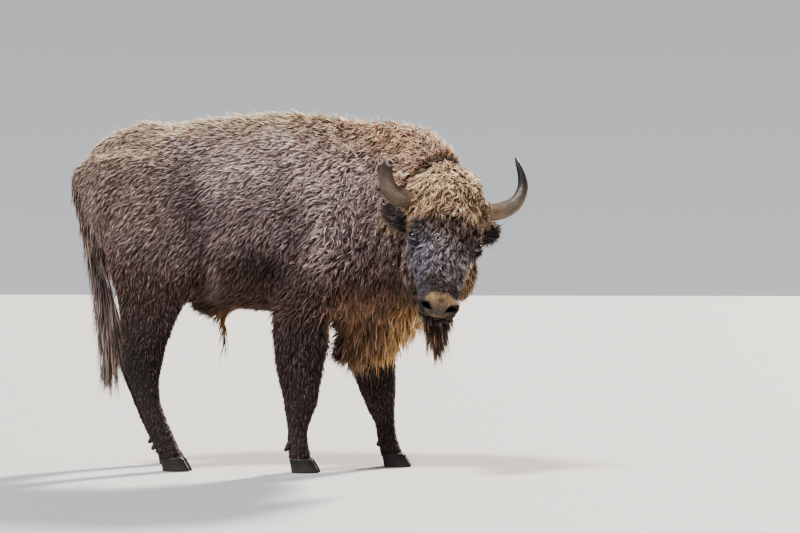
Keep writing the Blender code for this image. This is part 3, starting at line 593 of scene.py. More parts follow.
# The upper face made paler and bluer as a painted bluish sheen of skylight; the lower face made darker.
nasal = W_HEAD * ramp(f, -0.05, 0.01) * (1 - cheek) * (1 - beard)
low_face = ramp(f, 0.075, 0.135)[:, None]
nasal_gain = np.array([1.16, 1.18, 1.24]) * (1 - low_face) + np.array([0.83, 0.85, 0.90]) * low_face
MID, TIP = mix(MID, MID * nasal_gain, nasal), mix(TIP, TIP * nasal_gain, nasal)
warmer = np.array([1.02, 1.003, 0.885]) * (1 - (W_HEAD * ramp(f, -0.10, 0.0))[:, None] * np.array([0.0, 0.02, 0.09]))
MID, TIP = MID * warmer, TIP * warmer
MID = MID * np.minimum(1, 0.70 / MID.max(axis=1))[:, None]
TIP = TIP * np.minimum(1, 0.84 / TIP.max(axis=1))[:, None]

# ---------------------------------------------------------------- the skin drawn in by the depth of the coat
normal = unit(web.diffuse(normals_of(outer, tris), 3))
depth = 0.9 * np.minimum(LENGTH, 0.075) * np.sin(LIFT)
depth += 0.028 * brink - 0.014 * brow_edge
depth += W_TRUNK * (0.048 * brisket + 0.014 * sheath) + W_NECK * 0.012 * throat + W_HEAD * 0.014 * beard + W_TAIL * 0.012
forms = 0.004 + 0.022 * hollow + 0.018 * loin + 0.014 * haunch + 0.014 * shoulder - 0.012 * stifle - 0.012 * hip + 0.006 * ridge
forms *= W_TRUNK + W_HIND * ramp(z, 0.8, 1.0)
lumps = 0.010 * (1 - noise3(outer, 0.085, 61)) * noise3(outer, 0.055, 62) + 0.0075 * noise3(outer, 0.034, 63)
forms += lumps * (W_TRUNK + W_NECK + 0.5 * (W_FORE + W_HIND) * ramp(z, 0.5, 0.8))
depth = depth + forms
depth = mix(depth, 0.0030, (1 - ramp(z, 0.085, 0.15)) * (W_FORE + W_HIND > 0.5))
outer_tree = BVHTree.FromPolygons([tuple(p) for p in outer.tolist()], [tuple(t) for t in tris.tolist()])
thickness = np.full(COUNT, 1.0)
for i in range(COUNT):
    n = Vector(normal[i])
    hit = outer_tree.ray_cast(Vector(outer[i]) - n * 0.002, -n, 0.5)
    if hit[0] is not None:
        thickness[i] = hit[3] + 0.002
depth = np.minimum(depth, 0.40 * thickness)
depth = web.diffuse(depth, 5)
skin = outer - normal * depth[:, None]
settle = 1 - 0.999 * (W_HEAD * ramp(f, -0.02, 0.05) > 0.4)
skin = web.diffuse(skin, 2, settle)
ledge = np.exp(-(((x + 0.70) / 0.24) ** 2 + ((z - 1.455) / 0.055) ** 2)) * ramp(np.abs(y), 0.04, 0.10) * (W_TRUNK + W_HIND)  # the top of the thigh runs into the loin
skin = mix(skin, web.diffuse(skin, 40), 0.95 * ledge)

# feet: the lower edge goes down into the hooves
foot = (z < 0.082) & (W_FORE + W_HIND > 0.5)
skin[foot, 2] = np.where(z[foot] < 0.068, 0.0545, mix(0.0545, skin[foot, 2], ramp(z[foot], 0.066, 0.082)))

# ---------------------------------------------------------------- the face: lids, nostrils, mouth and folds
BARE = np.zeros(COUNT)  # 1 where there is no hair
SHORT = np.ones(COUNT)  # how much of its length a tuft keeps
COBBLE = np.zeros(COUNT)
# The skin under the coat is darker than the hair: partly its own colour, partly painted shade in the gaps between the
# tufts.
own = MID * 0.42
EYE_FRAMES = {}
APERTURE = (0.0196, 0.0126, 0.0106)  # half length, rise of the upper lid and fall of the lower lid
for hand, centre in EYES.items():
    gaze = unit(SIDE * hand * 0.72 + FACE * 0.68 + FORE * 0.02)
    along = FORE * 0.55 + FACE * 0.35 - SIDE * hand * 0.45
    along = unit(along - gaze * (along @ gaze))
    above = np.cross(gaze, along)
    above = above * np.sign(above @ -FORE)
    EYE_FRAMES[hand] = (centre, gaze, along, above)
    q = skin - centre
    near = np.linalg.norm(q, axis=1) < 0.062
    h, q1, q2 = q @ gaze, q @ along, q @ above
    near &= h > -0.030
    h, q1, q2 = h[near], q1[near], q2[near]
    rho = np.hypot(q1, q2)
    lid_radius = EYE_RADIUS + 0.0020
    lid = np.sqrt(np.maximum(lid_radius**2 - rho**2, (0.38 * lid_radius) ** 2))
    inside = np.sqrt(np.maximum((EYE_RADIUS - 0.0040) ** 2 - rho**2, 0.0))
    w = 1 - ramp(rho, 0.0180, 0.038)
    reach = np.where(q2 > 0, APERTURE[1], APERTURE[2]) * (1 + 0.10 * q1 / APERTURE[0])
    almond = (np.abs(q1) / APERTURE[0]) ** 1.7 + (q2 / reach) ** 2
    root = np.sqrt(almond)
    height = mix(h, lid, w)
    height = mix(inside, height, ramp(almond, 0.86, 1.10))
    rim = bell(root, 1.10, 0.09) * 0.0008
    upper = ramp(q2, -0.002, 0.004)
    fold = upper * (0.0016 * bell(root, 1.50, 0.12) - 0.0024 * bell(root, 1.85, 0.13) + 0.0022 * bell(root, 2.30, 0.22) - 0.0012 * bell(root, 2.75, 0.16))
    fold += (1 - upper) * (0.0008 * bell(root, 1.45, 0.14) - 0.0016 * bell(root, 1.90, 0.16) + 0.0012 * bell(root, 2.45, 0.25) - 0.0009 * bell(root, 3.0, 0.18))
    ripple = (noise3(skin[near], 0.006, 9) - 0.5) * 0.0007 * ramp(root, 1.2, 1.6) * (1 - ramp(root, 3.0, 4.0))
    height = height + (rim + fold + ripple) * (almond > 0.9)
    skin[near] = centre + np.outer(height, gaze) + np.outer(q1, along) + np.outer(q2, above)
    lid_bare = 1 - ramp(root, 1.30, 1.58)
    BARE[near] = np.maximum(BARE[near], lid_bare)
    SHORT[near] = np.minimum(SHORT[near], mix(0.34, 1.0, ramp(root, 1.3, np.where(q2 > 0, 4.8, 2.8))))
    shade = 1 - ramp(root, 1.15, 1.9)
    own[near] = mix(own[near], C["lid"] * 0.45, shade)
    own[near] = mix(own[near], C["lid"], shade * (1 - upper))
    own[near] = mix(own[near], C["dark"], (1 - ramp(root, 0.98, 1.10)) * 0.9)
    TIP[near] = mix(TIP[near], C["muzzle"], 0.85 * (1 - ramp(root, 1.5, 2.9)))
    MID[near] = mix(MID[near], C["lid"], 0.75 * (1 - ramp(root, 1.5, 2.7)))
    # Painted highlight: a pale bluish rim along the lower lid.
    own[near] = mix(own[near], rgb(156, 150, 168), 0.9 * (1 - 0.6 * upper) * bell(root, 1.14, 0.10))

s, f, c = head_coords(skin)
nose_zone = (W_HEAD > 0.6) & (f > 0.20) & (c > -0.14)
front_line = f - c  # grows from the bridge of the nose round to the mouth
push = np.zeros((COUNT, 3))
ragged = 0.05 * (noise3(skin, 0.011, 71) - 0.5)
button = (np.abs(s) / 0.0745) ** 2.5 + (np.abs(front_line - 0.326) / 0.0790) ** 2.5
pad = (1 - ramp(button + ragged, 0.80, 1.04)) * (1 - ramp(front_line, 0.402, 0.410))
outward = unit(web.diffuse(normals_of(skin, tris), 2))
NOSTRIL = np.zeros(COUNT)
NOSTRIL_SHADE_RING = np.zeros(COUNT)
for hand in (1, -1):
    middle = head_point(hand * 0.0520, 0.3135, -0.0285)
    into = unit(-FORE * 0.62 - FACE * 0.52 + SIDE * hand * 0.10)
    long_ = unit(SIDE * hand * 0.83 - FORE * 0.40 + FACE * 0.38)
    long_ = unit(long_ - into * (long_ @ into))
    across = np.cross(into, long_)
    across = across * np.sign(across @ -FORE)
    q = skin - middle
    u, v, d = q @ long_, q @ across, q @ into
    bent = v + 7.0 * (u + 0.006) ** 2 - 0.0035  # the opening is a comma, wide at its outer end
    hole = np.sqrt(((u - 0.001) / 0.0250) ** 2 + (bent / (0.0068 + 0.0082 * ramp(u, -0.022, 0.014))) ** 2)
    zone = nose_zone & (np.abs(d) < 0.05) & (hole < 4)
    into_hole = np.where(zone, 1 - ramp(hole, 0.42, 1.02), 0)
    push += np.outer(into_hole * 0.025, into)
    lip = np.where(zone, bell(hole, 1.32, 0.26), 0)
    push += outward * (lip * 0.0034)[:, None]
    wing = np.where(zone, np.exp(-(((u - 0.026) / 0.016) ** 2 + ((v - 0.010) / 0.010) ** 2)), 0)
    push += outward * (wing * 0.0050)[:, None]
    tail_groove = np.where(zone, np.exp(-(((u - 0.040) / 0.014) ** 2 + ((v + 0.014) / 0.0035) ** 2)), 0)
    push -= outward * (tail_groove * 0.0035)[:, None]
    NOSTRIL_SHADE_RING = np.maximum(NOSTRIL_SHADE_RING, np.where(zone, bell(hole, 1.15, 0.42), 0))
    NOSTRIL = np.maximum(NOSTRIL, np.where(zone, 1 - ramp(hole, 0.80, 1.16), 0))
    pad = np.maximum(pad, np.where(zone, (1 - ramp(hole, 1.35, 1.75)), 0))
push -= outward * (0.0016 * bell(s, 0, 0.0030) * pad)[:, None]
push += outward * (0.0030 * pad - 0.0016 * bell(button, 1.12, 0.10) * (front_line < 0.385))[:, None] * nose_zone[:, None]
push += outward * (0.0010 * (noise3(skin, 0.009, 72) - 0.5) * pad)[:, None]
mouth_line = c + 0.0660 + (0.348 - f) * 0.36 + 0.006 * bell(s, 0, 0.018)
back_fade = ramp(f, 0.205, 0.235) * (W_HEAD > 0.6)
groove = bell(mouth_line, 0, 0.0032) * back_fade
push -= outward * (groove * 0.0055)[:, None]
push += outward * (bell(mouth_line, 0.0085, 0.0050) * back_fade * 0.0016 + bell(mouth_line, -0.0100, 0.0065) * back_fade * 0.0026)[:, None]
wrinkle = np.sin(front_line * 420 + 2.5 * noise3(skin, 0.03, 12)) * ramp(front_line, 0.205, 0.222) * (1 - ramp(front_line, 0.235, 0.247)) * (1 - ramp(np.abs(s), 0.04, 0.07))
push += outward * (wrinkle * 0.0007 * nose_zone)[:, None]
skin = skin + push
lip_zone = bell(mouth_line, -0.001, 0.0075) * back_fade
BARE = np.maximum(BARE, np.maximum(ramp(pad, 0.35, 0.9) * nose_zone, NOSTRIL))
BARE = np.maximum(BARE, (bell(mouth_line, 0, 0.0062) * back_fade > 0.55) * 1.0)
COBBLE = pad * (1 - NOSTRIL) * nose_zone
mottle = noise3(skin, 0.010, 73) * 0.6 + noise3(skin, 0.004, 74) * 0.4
# Painted light: the top of the nose pad made paler ochre, as if sunlit.
nose_colour = mix(everywhere("nose"), C["nose_lit_top"], (1 - ramp(front_line + 0.05 * (mottle - 0.5), 0.285, 0.345)) * 0.9)
nose_colour = nose_colour * (0.25 + 1.5 * mottle)[:, None]
nose_colour = mix(nose_colour, rgb(40, 30, 26), 0.70 * np.exp(-(((s - 0.006) / 0.017) ** 2 + ((front_line - 0.292) / 0.020) ** 2)))
# Painted sheen: a paler grey patch on the lower middle of the pad for its wet shine.
nose_colour = mix(nose_colour, rgb(96, 84, 82), 0.65 * np.exp(-((s / 0.028) ** 2 + ((front_line - 0.372) / 0.022) ** 2)))
nose_colour = mix(nose_colour, rgb(176, 138, 86), 0.85 * np.maximum(bell(mouth_line, 0.0078, 0.0036), bell(front_line, 0.3985, 0.0040)))
nose_colour = mix(nose_colour, rgb(52, 42, 37), 0.80 * ramp(button, 0.58, 0.92) * ramp(np.abs(s), 0.030, 0.056))
# Painted shade round the nostril openings.
nose_colour = nose_colour * (1 - 0.45 * NOSTRIL_SHADE_RING)[:, None]
own = mix(own, nose_colour, pad * nose_zone)
own = mix(own, C["lip"], np.clip(lip_zone * 1.2, 0, 1))
# Painted shade inside the nostrils and along the groove of the mouth.
own = mix(own, C["dark"], np.maximum(NOSTRIL, groove * 0.9))
near_lips = np.maximum(1 - ramp(np.abs(mouth_line), 0.006, 0.022), 0) * back_fade * ramp(f, 0.25, 0.30)
SHORT = np.where((W_HEAD > 0.6) & (f > 0.26) & (mouth_line > -0.012), np.minimum(SHORT, 0.75), SHORT)
pale_rim = W_HEAD * ramp(f, 0.255, 0.285) * (c > -0.115) * (1 - pad)
rim_colour = rgb(156, 140, 124)
TIP = mix(TIP, rim_colour, 0.45 * pale_rim * (1 - ramp(np.abs(s) - 0.0, 0.095, 0.12)))

# ---------------------------------------------------------------- materials
def nodes_for(name):
    made = bpy.data.materials.new(name)
    made.use_nodes = True
    tree = made.node_tree
    return made, tree.nodes, tree.links, tree.nodes["Principled BSDF"]


def add(nodes, kind, **settings):
    node = nodes.new(kind)
    for key, value in settings.items():
        setattr(node, key, value)
    return node


def colour_attribute(nodes, name="coat"):
    node = nodes.new("ShaderNodeAttribute")
    node.attribute_name = name
    return node


def maths(nodes, links, operation, a, b=None, clamp=False):
    node = add(nodes, "ShaderNodeMath", operation=operation, use_clamp=clamp)
    for socket, value in zip(node.inputs, (a, b)):
        if value is None:
            continue
        if isinstance(value, (int, float)):
            socket.default_value = value
        else:
            links.new(value, socket)
    return node.outputs[0]


def ranged(nodes, links, value, a, b, c_, d):
    node = nodes.new("ShaderNodeMapRange")
    links.new(value, node.inputs["Value"])
    for key, number in (("From Min", a), ("From Max", b), ("To Min", c_), ("To Max", d)):
        node.inputs[key].default_value = number
    return node.outputs["Result"]


def times(nodes, links, colour, factor):
    node = add(nodes, "ShaderNodeVectorMath", operation="SCALE")
    links.new(colour, node.inputs[0])
    links.new(factor, node.inputs["Scale"])
    return node.outputs[0]


def bumped(nodes, links, height, strength, distance, before=None):
    node = nodes.new("ShaderNodeBump")
    node.inputs["Strength"].default_value = strength
    node.inputs["Distance"].default_value = distance
    links.new(height, node.inputs["Height"])
    if before is not None:
        links.new(before, node.inputs["Normal"])
    return node.outputs["Normal"]


def noise_node(nodes, links, vector, scale, detail=3.0, rough=0.6, stretch=None):
    if stretch:
        mapping = nodes.new("ShaderNodeMapping")
        mapping.inputs["Scale"].default_value = stretch
        links.new(vector, mapping.inputs["Vector"])
        vector = mapping.outputs[0]
    node = nodes.new("ShaderNodeTexNoise")
    node.inputs["Scale"].default_value = scale
    node.inputs["Detail"].default_value = detail
    node.inputs["Roughness"].default_value = rough
    links.new(vector, node.inputs["Vector"])
    return node.outputs["Fac"]


def fur_material():
    made, nodes, links, shader = nodes_for("coat_hair")
    strand = nodes.new("ShaderNodeUVMap")
    strand.uv_map = "strand"
    streak = noise_node(nodes, links, strand.outputs[0], 1.0, 2.0, 0.55, (7.0, 1.1, 1.0))
    colour = times(nodes, links, colour_attribute(nodes).outputs["Color"], ranged(nodes, links, streak, 0.28, 0.72, 0.62, 1.36))
    links.new(colour, shader.inputs["Base Color"])
    links.new(ranged(nodes, links, streak, 0.3, 0.7, 0.72, 0.52), shader.inputs["Roughness"])
    shader.inputs["Specular IOR Level"].default_value = 0.35
    shader.inputs["Sheen Weight"].default_value = 0.05
    shader.inputs["Sheen Roughness"].default_value = 0.35
    shader.inputs["Sheen Tint"].default_value = (1.0, 0.95, 0.90, 1)
    links.new(bumped(nodes, links, streak, 0.45, 0.0012), shader.inputs["Normal"])
    return made


def skin_material():
    made, nodes, links, shader = nodes_for("skin")
    place = nodes.new("ShaderNodeTexCoord").outputs["Object"]
    bare = colour_attribute(nodes, "bare").outputs["Fac"]
    pad_mask = colour_attribute(nodes, "cobble").outputs["Fac"]
    grain = noise_node(nodes, links, place, 240, 4.0, 0.65, (1.0, 1.0, 0.35))
    blotch = noise_node(nodes, links, place, 34, 3.0, 0.6)
    tone = maths(nodes, links, "MULTIPLY", ranged(nodes, links, grain, 0.3, 0.7, 0.66, 1.28), ranged(nodes, links, blotch, 0.3, 0.7, 0.84, 1.16))
    cobbles = nodes.new("ShaderNodeTexVoronoi")
    cobbles.feature = "DISTANCE_TO_EDGE"
    cobbles.inputs["Scale"].default_value = 430
    links.new(place, cobbles.inputs["Vector"])
    crease = ranged(nodes, links, cobbles.outputs["Distance"], 0.0, 0.16, 0.0, 1.0)
    creased = maths(nodes, links, "ADD", maths(nodes, links, "MULTIPLY", maths(nodes, links, "SUBTRACT", crease, 1.0), maths(nodes, links, "MULTIPLY", pad_mask, 0.28)), 1.0)
    links.new(times(nodes, links, times(nodes, links, colour_attribute(nodes).outputs["Color"], tone), creased), shader.inputs["Base Color"])
    hairy = ranged(nodes, links, grain, 0.3, 0.7, 0.75, 0.95)
    wet = ranged(nodes, links, blotch, 0.3, 0.7, 0.30, 0.52)
    rough = nodes.new("ShaderNodeMix")
    rough.data_type = "FLOAT"
    links.new(bare, rough.inputs[0])
    links.new(hairy, rough.inputs[2])
    links.new(wet, rough.inputs[3])
    links.new(rough.outputs[0], shader.inputs["Roughness"])
    first = bumped(nodes, links, grain, 0.55, 0.0022)
    height = maths(nodes, links, "MULTIPLY", crease, pad_mask)
    links.new(bumped(nodes, links, height, 0.6, 0.0008, first), shader.inputs["Normal"])
    shader.inputs["Specular IOR Level"].default_value = 0.35
    return made


def horn_material():
    made, nodes, links, shader = nodes_for("horn")
    place = nodes.new("ShaderNodeUVMap")
    place.uv_map = "along"
    fibres = noise_node(nodes, links, place.outputs[0], 1.0, 4.0, 0.6, (34.0, 5.0, 1.0))
    object_place = nodes.new("ShaderNodeTexCoord").outputs["Object"]
    cloud = noise_node(nodes, links, object_place, 26, 4.0, 0.6)
    scratch = noise_node(nodes, links, object_place, 160, 3.0, 0.7)
    tone = maths(nodes, links, "MULTIPLY", ranged(nodes, links, fibres, 0.3, 0.7, 0.58, 1.52), ranged(nodes, links, cloud, 0.3, 0.7, 0.78, 1.20))
    links.new(times(nodes, links, colour_attribute(nodes).outputs["Color"], tone), shader.inputs["Base Color"])
    links.new(ranged(nodes, links, maths(nodes, links, "MULTIPLY", fibres, scratch), 0.12, 0.36, 0.34, 0.60), shader.inputs["Roughness"])
    shader.inputs["Specular IOR Level"].default_value = 0.5
    shader.inputs["Coat Weight"].default_value = 0.12
    shader.inputs["Coat Roughness"].default_value = 0.3
    links.new(bumped(nodes, links, scratch, 0.25, 0.0006, bumped(nodes, links, fibres, 0.5, 0.0012)), shader.inputs["Normal"])
    return made


def hoof_material():
    made, nodes, links, shader = nodes_for("hoof")
    place = nodes.new("ShaderNodeTexCoord").outputs["Object"]
    layers = noise_node(nodes, links, place, 60, 3.0, 0.6, (0.5, 0.5, 5.0))
    grit = noise_node(nodes, links, place, 220, 4.0, 0.7)
    cloud = noise_node(nodes, links, place, 30, 2.0, 0.5)
    tone = maths(nodes, links, "MULTIPLY", ranged(nodes, links, layers, 0.3, 0.7, 0.68, 1.35), ranged(nodes, links, cloud, 0.3, 0.7, 0.75, 1.25))
    links.new(times(nodes, links, colour_attribute(nodes).outputs["Color"], tone), shader.inputs["Base Color"])
    links.new(ranged(nodes, links, grit, 0.3, 0.7, 0.42, 0.72), shader.inputs["Roughness"])
    links.new(bumped(nodes, links, grit, 0.3, 0.0005, bumped(nodes, links, layers, 0.5, 0.0012)), shader.inputs["Normal"])
    return made


def eye_material():
    made, nodes, links, shader = nodes_for("eye")
    place = nodes.new("ShaderNodeTexCoord").outputs["Object"]
    fibre = noise_node(nodes, links, place, 900, 2.0, 0.6)
    links.new(times(nodes, links, colour_attribute(nodes).outputs["Color"], ranged(nodes, links, fibre, 0.3, 0.7, 0.8, 1.2)), shader.inputs["Base Color"])
    shader.inputs["Roughness"].default_value = 0.10
    shader.inputs["Specular IOR Level"].default_value = 0.35
    shader.inputs["Coat Weight"].default_value = 0.8
    shader.inputs["Coat Roughness"].default_value = 0.03
    return made


HAIR, SKIN_M, HORN_M, HOOF_M, EYE_M = fur_material(), skin_material(), horn_material(), hoof_material(), eye_material()


# ---------------------------------------------------------------- ears
EAR_BASE = {}
ear_parts = []
for name, hand in (("ear_left", 1), ("ear_right", -1)):
    made = remeshed(welded(name), 0.0044)
    e_co, e_tris = read_mesh(made)
    e_web = Web(len(e_co), edges_of(made))
    e_co = e_web.taubin(e_co, 7)
    e_n = unit(e_web.diffuse(normals_of(e_co, e_tris), 2))
    root = head_point(hand * 0.142, -0.088, -0.112)
    out = unit(SIDE * hand * 0.70 - FORE * 0.64 - FACE * 0.27)
    open_ = FACE * 0.80 + FORE * 0.45
    open_ = unit(open_ - out * (open_ @ out))
    along = (e_co - root) @ out
    e_co = e_co - e_n * (0.0022 * ramp(along, 0.0, 0.03))[:, None]
    inner = ramp(e_n @ open_, 0.05, 0.5)
    wide = np.abs((e_co - root) @ np.cross(out, open_))
    half = np.interp(along, [0, 0.035, 0.075, 0.115, 0.150, 0.172], [0.030, 0.037, 0.047, 0.045, 0.030, 0.012])
    edge = ramp(wide / half, 0.72, 0.95)
    colour = mix(mix(rgb(82, 68, 62), rgb(44, 34, 32), inner), rgb(96, 80, 72), edge * (1 - inner))
    ear_parts.append(dict(co=e_co, tris=e_tris, normal=e_n, along=along, inner=inner, edge=edge, out=out, open=open_, root=root, colour=colour, hand=hand))

# ---------------------------------------------------------------- the skin object
skin_parts_co = [skin] + [p["co"] for p in ear_parts]
skin_parts_tris, offset = [tris], len(skin)
for part in ear_parts:
    skin_parts_tris.append(part["tris"] + offset)
    offset += len(part["co"])
skin_mesh = new_mesh("skin", np.concatenate(skin_parts_co), np.concatenate(skin_parts_tris))
ear_count = sum(len(p["co"]) for p in ear_parts)
paint(skin_mesh, "coat", np.concatenate([own] + [p["colour"] for p in ear_parts]))
mark(skin_mesh, "bare", np.concatenate([BARE * (1 - 0.95 * NOSTRIL) * (1 - 0.9 * ramp(button, 0.55, 0.82) * nose_zone), np.zeros(ear_count)]))
mark(skin_mesh, "cobble", np.concatenate([COBBLE, np.zeros(ear_count)]))
skin_object = add_object("skin", skin_mesh, SKIN_M)
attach(skin_object, "root")
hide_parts(*FLESH, "ear_left", "ear_right")
print("skin triangles", len(skin_mesh.polygons))


def scatter(co, tris, density, chosen, rng):
    """Roots spread over the chosen triangles: triangle number and the weights of its corners."""
    t = tris[chosen]
    area = 0.5 * np.linalg.norm(np.cross(co[t[:, 1]] - co[t[:, 0]], co[t[:, 2]] - co[t[:, 0]]), axis=1)
    expected = area * density[t].mean(axis=1)
    total = np.cumsum(expected)
    count = int(total[-1])
    pick = np.searchsorted(total, (np.arange(count) + rng.random(count)) * total[-1] / count)
    pick = np.clip(pick, 0, len(t) - 1)
    a, b = np.sqrt(rng.random(count)), rng.random(count)
    return chosen[pick], np.stack([1 - a, a * (1 - b), a * b], 1)


def tufts(name, K, P, N, F, L, Wd, lift, curl, hang, stray, root_c, mid_c, tip_c, uv, rng, clump=0.026, pull=0.45, guard=0.10, wander=0.055, waves=0.75, ragged=0.07, streak=0.0):
    """Builds one coat piece: M thin closed locks of K segments."""
    M = len(P)
    clump_key = np.floor((P + 0.020 * (np.stack([noise3(P, 0.045, k + 20) for k in range(3)], 1) - 0.5)) / clump).astype(np.int64)
    _, group = np.unique(clump_key, axis=0, return_inverse=True)
    group = group.reshape(-1)
    members = np.bincount(group)
    middle = np.stack([np.bincount(group, weights=P[:, k]) / members for k in range(3)], 1)[group]
    g_turn = rng.normal(0, 0.55, len(members))[group]
    g_waves = rng.uniform(0.75, 1.25, len(members))[group]
    g_tone = np.exp(rng.normal(0, 0.27, len(members)))[group]
    g_lift = np.exp(rng.normal(0, 0.24, len(members)))[group]
    g_phase = rng.uniform(0, 2 * math.pi, len(members))[group]
    g_length = np.exp(rng.normal(0, ragged, len(members)))[group]
    g_streak = np.where(rng.random(len(members)) < streak, 3.6, 1.0)[group]
    F = unit(F - N * np.sum(F * N, axis=1, keepdims=True))
    swing = (noise3(P, wander, 31) + 0.5 * noise3(P, wander * 0.45, 32) - 0.75) * 2.6 * stray
    F = turned(F, N, swing + stray * (0.17 * rng.normal(size=M) + g_turn))
    is_guard = rng.random(M) < guard
    L = L * g_length * np.exp(rng.normal(0, 0.16, M)) * np.where(is_guard, 1.22, 1.0)
    Wd = Wd * np.exp(rng.normal(0, 0.18, M)) * np.where(is_guard, 0.55, 1.0)
    lift = np.clip(lift * g_lift * np.exp(rng.normal(0, 0.20, M)) * np.where(is_guard, 1.12, 1.0), 0.02, 1.25)
    B = np.cross(F, N)
    freq = waves * g_waves * np.exp(rng.normal(0, 0.06, M))
    phase = g_phase + rng.normal(0, 0.30, M)
    curl = curl * np.exp(rng.normal(0, 0.20, M))
    to_middle = middle - P
    to_middle = to_middle - N * np.sum(to_middle * N, axis=1, keepdims=True)
    pull_w = pull * rng.uniform(0.4, 1.0, M) * np.clip(L / 0.032, 0.20, 1.0)
    off_centre = np.clip(np.linalg.norm(to_middle, axis=1) / (0.5 * clump), 0, 1.4)
    lift = np.clip(lift * (1.32 - 0.60 * off_centre), 0.02, 1.3)
    spine = [P - N * 0.0022]
    dirs = []
    for k in range(K):
        t = (k + 0.5) / K
        phi = lift * (1.45 - 1.0 * t)
        side = curl * np.sin(2 * math.pi * freq * t + phase) * (0.4 + 0.9 * t)
        up = 0.45 * curl * np.cos(2 * math.pi * freq * t + phase * 1.7) * t
        d = F * np.cos(phi)[:, None] + N * (np.sin(phi) + up)[:, None] + B * side[:, None]
        d = unit(d)
        d = unit(d + np.outer(hang * (0.35 + 1.4 * t), [0, 0, -1.0]))
        d = d + to_middle * (pull_w * 1.5 * t**0.5)[:, None] / np.maximum(L, 0.01)[:, None]
        d = unit(d)
        dirs.append(d)
        spine.append(spine[-1] + d * (L / K)[:, None])
    profile = {2: [0.92, 0.78], 3: [0.84, 1.0, 0.62], 4: [0.78, 1.0, 0.84, 0.50], 5: [0.74, 1.0, 0.94, 0.76, 0.44], 6: [0.7, 1.0, 1.0, 0.86, 0.66, 0.38]}[K]
    V = np.empty((M, 3 * K + 1, 3))
    col = np.empty((M, 3 * K + 1, 3))
    # Painted light and shade: tufts in the middle of a lock paler, tufts at its edges darker, for lit tops and shaded
    # gaps.
    tone = (g_tone * g_streak * np.exp(rng.normal(0, 0.18, M)) * np.maximum(1.50 - 0.78 * off_centre, 0.4))[:, None]
    warm = (rng.normal(0, 0.035, M))[:, None] * np.array([1.0, 0.1, -1.0])
    for k in range(K):
        d = dirs[0] if k == 0 else unit(dirs[k - 1] + dirs[k])
        b = np.cross(d, N)
        b = unit(np.where(np.linalg.norm(b, axis=1, keepdims=True) < 0.05, B, b))
        m = np.cross(b, d)
        w = (Wd * profile[k] * 0.43)[:, None]
        V[:, 3 * k] = spine[k] + b * w
        V[:, 3 * k + 1] = spine[k] + m * w * 0.85
        V[:, 3 * k + 2] = spine[k] - b * w
        t = k / K if K > 2 else (0.0, 0.62)[k]
        shade = mix(root_c, mid_c, np.full(M, min(1.0, t * 2.4))) if t < 0.42 else mix(mid_c, tip_c, np.full(M, (t - 0.42) / 0.58))
        col[:, 3 * k : 3 * k + 3] = (shade * tone * (1 + warm))[:, None, :]
    V[:, -1] = spine[K]
    col[:, -1] = tip_c * tone * (1 + warm)
    lit = np.where(is_guard, 1.12, 1.0)[:, None, None]
    col *= lit
    faces, sizes = [0, 1, 2], [3]
    for k in range(K - 1):
        for i in range(3):
            j = (i + 1) % 3
            faces += [3 * k + i, 3 * (k + 1) + i, 3 * (k + 1) + j, 3 * k + j]
            sizes.append(4)
    tip = 3 * K
    for i in range(3):
        faces += [3 * (K - 1) + i, tip, 3 * (K - 1) + (i + 1) % 3]
        sizes.append(3)
    step = 3 * K + 1
    corners = (np.array(faces)[None, :] + (np.arange(M) * step)[:, None]).reshape(-1)
    mesh = new_mesh(name, V.reshape(-1, 3), corners, np.tile(sizes, M))
    paint(mesh, "coat", col.reshape(-1, 3))
    u = np.array([0.0, 0.5, 1.0] * K + [0.5])
    v = np.array([k / K for k in range(K) for _ in range(3)] + [1.0])
    own_patch = (np.stack([u, v], 1) - 0.5) * 0.0030
    baked = (uv[:, None, :] + own_patch[None]).reshape(-1, 2)[corners]
    shift = np.stack([rng.random(M) * 40, rng.random(M) * 40], 1)
    strand = (np.stack([u, v], 1)[None] + shift[:, None, :]).reshape(-1, 2)[corners]
    mesh.uv_layers.new(name="OFBake").data.foreach_set("uv", np.clip(baked, 0, 1).astype(np.float32).reshape(-1))
    mesh.uv_layers.new(name="strand").data.foreach_set("uv", strand.astype(np.float32).reshape(-1))
    mesh.uv_layers["OFBake"].active = True
    mesh.uv_layers["OFBake"].active_render = True
    obj = add_object(name, mesh, HAIR)
    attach(obj, "root")
    triangles = M * (3 * (K - 1) * 2 + 4)
    print(name, "tufts", M, "triangles", triangles)
    return triangles


